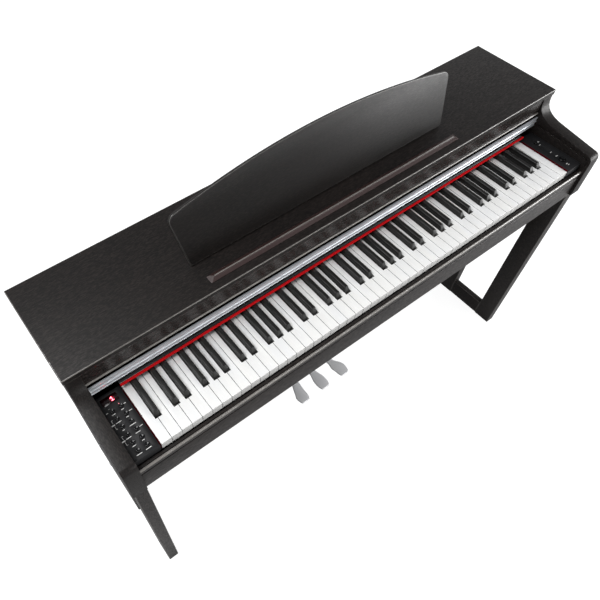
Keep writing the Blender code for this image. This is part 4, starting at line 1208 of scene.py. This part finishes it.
def pedal_outline(lean):
    """A pedal from above: slim root, flared spoon and a blunt tip that leans to one side."""
    tip, neck, sweep = PEDAL_TIP, PEDAL_NECK, PEDAL_LEAN * lean
    wide = tip + (neck - tip) * 0.36
    narrow, broad, blunt = PEDAL_HALVES.values()
    spoon = (broad + sweep, wide)
    right = [(narrow, PEDAL_ROOT), (narrow, neck)]
    right += bezier((narrow, neck), (narrow + 0.001, neck - 0.018), (broad + sweep, wide + 0.02), spoon, 14)
    pull_tip, end = (blunt + 0.003 + sweep, tip + 0.001), (blunt - 0.002 + sweep, tip)
    right += bezier(spoon, (broad + sweep, wide - 0.012), pull_tip, end, 10)
    left = []
    for x, depth in reversed(right):
        bend = min(max((neck - depth) / (neck - wide), 0.0), 1.0)
        left.append((-x + 2 * sweep * bend, depth))
    return [(x, behind(depth)) for x, depth in right + left]


class PIANO_OT_pedals(Builder, bpy.types.Operator):
    """Three cast pedals, their box and its foot"""

    bl_idname = "piano.pedals"
    bl_label = "Pedals"

    def build(self, shapes):
        tone = finishes().pedal
        metal = brushed("pedal_satin", tone, 0.4, along="Y", metallic=0.1, fine=900.0, contrast=0.04)
        for node, lean in PEDALS.items():
            low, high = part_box(node)
            centre = JOINTS[node + "_press"]["pos_m"][0]
            shape = extruded([(x + centre, y) for x, y in pedal_outline(lean)], low.z, high.z, "Z")
            over = edges_among([vert for vert in shape.verts if vert.co.z > high.z - 1e-5])
            under = edges_among([vert for vert in shape.verts if vert.co.z < low.z + 1e-5])
            round_edges(shape, over, 0.002, 4)
            round_edges(shape, [edge for edge in under if edge.is_valid], 0.0008, 2)
            show(node + "_lever", shape, "satin_pedal_metal", node, finish=metal, body=node)
        refine("pedal_box", panel_plastic(), 0.0012)
        refine("pedal_box_foot", moulded("rubber_foot", (0.014, 0.014, 0.014), 0.7, 1200.0), 0.001)
        low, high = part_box("pedal_box")
        inset = 0.015
        spot = (low.x + inset, (low.y + high.y) / 2, high.z)
        screw_row("pedal_box_screws", spot, ((high.x - low.x - inset * 2) / 2, 0.0, 0.0), 3, 0.003, 0.0012)


# Inside and back


class PIANO_OT_fittings(Builder, bpy.types.Operator):
    """Back screws, mains inlet, speakers with grilles and the circuit board"""

    bl_idname = "piano.fittings"
    bl_label = "Fittings"

    def build(self, shapes):
        low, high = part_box("back_panel")
        inset, screws = 0.012, 10
        step = ((high.x - low.x - inset * 2) / (screws - 1), 0.0, 0.0)
        for name, height in (("back_screws_high", high.z - inset), ("back_screws_low", low.z + inset)):
            spot = (low.x + inset, high.y, height)
            screw_row(name, spot, step, screws, shapes.screw_head, 0.0016, (0.0, 1.0, 0.0))
        self.inlet()
        self.speakers()
        refine("main_board", circuit_board("circuit_board_lacquer"), 0.0002)

    def inlet(self):
        refine("power_inlet", moulded("inlet_black", (0.01, 0.01, 0.01), 0.38), 0.0006)
        low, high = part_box("power_inlet")
        middle = (low + high) / 2
        pins = bmesh.new()
        for across, rise in ((-0.005, -0.0012), (0.0, 0.0016), (0.005, -0.0012)):
            x, z = middle.x + across, middle.z + rise
            root, end = (x - 0.001, high.y - 0.0145, z - 0.002), (x + 0.001, high.y - 0.003, z + 0.002)
            rounded_box(root, end, 0.0004, 2, pins)
        show("inlet_pins", pins, "plain_steel", finish=brushed("pin_metal", (0.62, 0.58, 0.5), 0.28, along="Y"))

    def speakers(self):
        """The cones, and under each the spokes and rings of its grille."""
        cone = moulded("speaker_cone", (0.013, 0.013, 0.014), 0.62, 500.0, 0.3)
        grille = moulded("grille_plastic", (0.01, 0.01, 0.01), 0.45)
        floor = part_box("key_bed")[0].z
        half, thick = 0.0008, 0.003
        for node in ("left_speaker", "right_speaker"):
            refine(node, cone)
            x, y = middle_of(node)
            spoke = rounded_box((0.0065, -0.0007, floor + 0.001), (0.0475, 0.0007, floor + 0.004), FIT, 2)
            parts = [repeated("spokes", spoke, True, Count=28, Centre=(x, y, 0.0), Finish=grille)]
            for radius in (0.007, 0.017, 0.027, 0.037, 0.0474):
                band = [(radius + side * half, rise) for side, rise in ((-1, 0.0), (1, 0.0), (1, thick), (-1, thick))]
                parts.append(mesh_from(turned(band + band[:1], (x, y, floor + half), 48), "ring"))
            show(node + "_grille", joined(node + "_grille", parts), "speaker_black", finish=grille)


# Stage


CAMERA_PLACE = Vector((-0.71701, -0.60929, 1.74394))
CAMERA_RIGHT = Vector((0.80775, -0.58914, -0.02106))
CAMERA_UP = Vector((0.49909, 0.6644, 0.55631))
CAMERA_SHIFT = (0.1107, 0.0307)
# Each light's place, target and size
LIGHTS = {
    "front": ((2.1, -3.0, 1.75), (0.2, 0.0, 0.7), (5.2, 0.5)),
    "side": ((2.6, -1.7, 0.9), (0.6, 0.0, 0.8), (1.4, 1.2)),
    "glint": ((-1.5, 1.5, 3.4), (-0.6, -0.1, 0.7), (0.28, 0.28)),
    "top": ((-1.6, 0.2, 3.2), (0.0, -0.1, 0.6), (1.7, 1.7)),
}


class PIANO_OT_stage(bpy.types.Operator):
    """Pale floor, soft lights and the camera"""

    bl_idname = "piano.stage"
    bl_label = "Stage"

    def execute(self, context):
        stage = context.scene.piano_stage
        self.floor(stage)
        self.sky(stage)
        for name, (place, target, size) in LIGHTS.items():
            self.light(f"{name}_light", place, target, size, getattr(stage, name))
        self.camera(stage)
        context.scene.view_settings.view_transform = "Standard"
        return {"FINISHED"}

    def floor(self, stage):
        """A plain pale floor. It lights the camera's view of it more than it lights the piano."""
        shape = bmesh.new()
        bmesh.ops.create_grid(shape, x_segments=1, y_segments=1, size=14.0)
        tone = (stage.floor,) * 3
        pale = Finish("pale_floor", tone, 0.6)
        pale.feed(Base_Color=pale.tones(pale.noise(3.0, 2.0), tinted(tone, 0.985), tone))
        seen = pale.add("ShaderNodeLightPath").outputs["Is Camera Ray"]
        glow = pale.spread(seen, stage.floor_glow * 0.12, stage.floor_glow, 0.0, 1.0)
        pale.feed(Emission_Color=(1.0, 1.0, 1.0), Emission_Strength=glow, Specular_IOR_Level=0.2)
        mesh = bpy.data.meshes.new("floor")
        shape.to_mesh(mesh)
        shape.free()
        mesh.materials.append(pale.material)
        floor = bpy.data.objects.new("floor", mesh)
        floor.location.z = -0.0002
        bpy.context.scene.collection.objects.link(floor)

    def sky(self, stage):
        """Light from all round, brightest at the horizon and dimmer overhead."""
        world = bpy.data.worlds.new("studio")
        bpy.context.scene.world = world
        world.use_nodes = True
        tree = world.node_tree
        place = add_node(tree, "ShaderNodeTexCoord").outputs["Generated"]
        height = add_node(tree, "ShaderNodeSeparateXYZ", {"Vector": place}).outputs["Z"]
        ramp = tones(tree, height, (1.0, 1.0, 1.0), (0.27, 0.27, 0.285), 0.2, 0.62)
        background = tree.nodes["Background"].inputs
        join(tree, ramp, background["Color"])
        background["Strength"].default_value = stage.sky

    def light(self, name, place, target, size, power):
        lamp = bpy.data.lights.new(name, "AREA")
        lamp.shape = "RECTANGLE"
        lamp.size, lamp.size_y = size
        lamp.energy = power
        holder = bpy.data.objects.new(name, lamp)
        holder.location = place
        aim = Vector(target) - Vector(place)
        holder.rotation_euler = aim.to_track_quat("-Z", "Y").to_euler()
        bpy.context.scene.collection.objects.link(holder)

    def camera(self, stage):
        lens = bpy.data.cameras.new("camera")
        lens.lens = stage.lens
        lens.sensor_width = 36.0
        lens.shift_x, lens.shift_y = CAMERA_SHIFT
        camera = bpy.data.objects.new("camera", lens)
        backward = CAMERA_RIGHT.cross(CAMERA_UP)
        turn = Matrix((CAMERA_RIGHT, CAMERA_UP, backward)).transposed().to_4x4()
        camera.matrix_world = Matrix.Translation(CAMERA_PLACE) @ turn
        bpy.context.scene.collection.objects.link(camera)
        bpy.context.scene.camera = camera


OPERATORS = (
    PIANO_OT_stage,
    PIANO_OT_cabinet,
    PIANO_OT_keyboard,
    PIANO_OT_key_cover,
    PIANO_OT_controls,
    PIANO_OT_music_rest,
    PIANO_OT_stand,
    PIANO_OT_pedals,
    PIANO_OT_fittings,
)


class PIANO_PT_parts(bpy.types.Panel):
    """Lists the piano's settings and builders"""

    bl_label = "Digital piano"
    bl_idname = "PIANO_PT_parts"
    bl_space_type = "VIEW_3D"
    bl_region_type = "UI"
    bl_category = "Piano"

    def draw(self, context):
        for group in SETTINGS:
            column = self.layout.column(align=True)
            settings = getattr(context.scene, group)
            for name in settings.__annotations__:
                column.prop(settings, name)
        for operator in OPERATORS:
            self.layout.operator(operator.bl_idname)


def register():
    for group in SETTINGS.values():
        bpy.utils.register_class(group)
    for name, group in SETTINGS.items():
        setattr(bpy.types.Scene, name, bpy.props.PointerProperty(type=group))
    for item in (*OPERATORS, PIANO_PT_parts):
        bpy.utils.register_class(item)


def unregister():
    for item in reversed((*OPERATORS, PIANO_PT_parts)):
        bpy.utils.unregister_class(item)
    for name, group in SETTINGS.items():
        delattr(bpy.types.Scene, name)
        bpy.utils.unregister_class(group)


def main():
    register()
    for operator in OPERATORS:
        group, name = operator.bl_idname.split(".")
        getattr(getattr(bpy.ops, group), name)()
    bpy.context.view_layer.update()


if __name__ == "__main__":
    main()
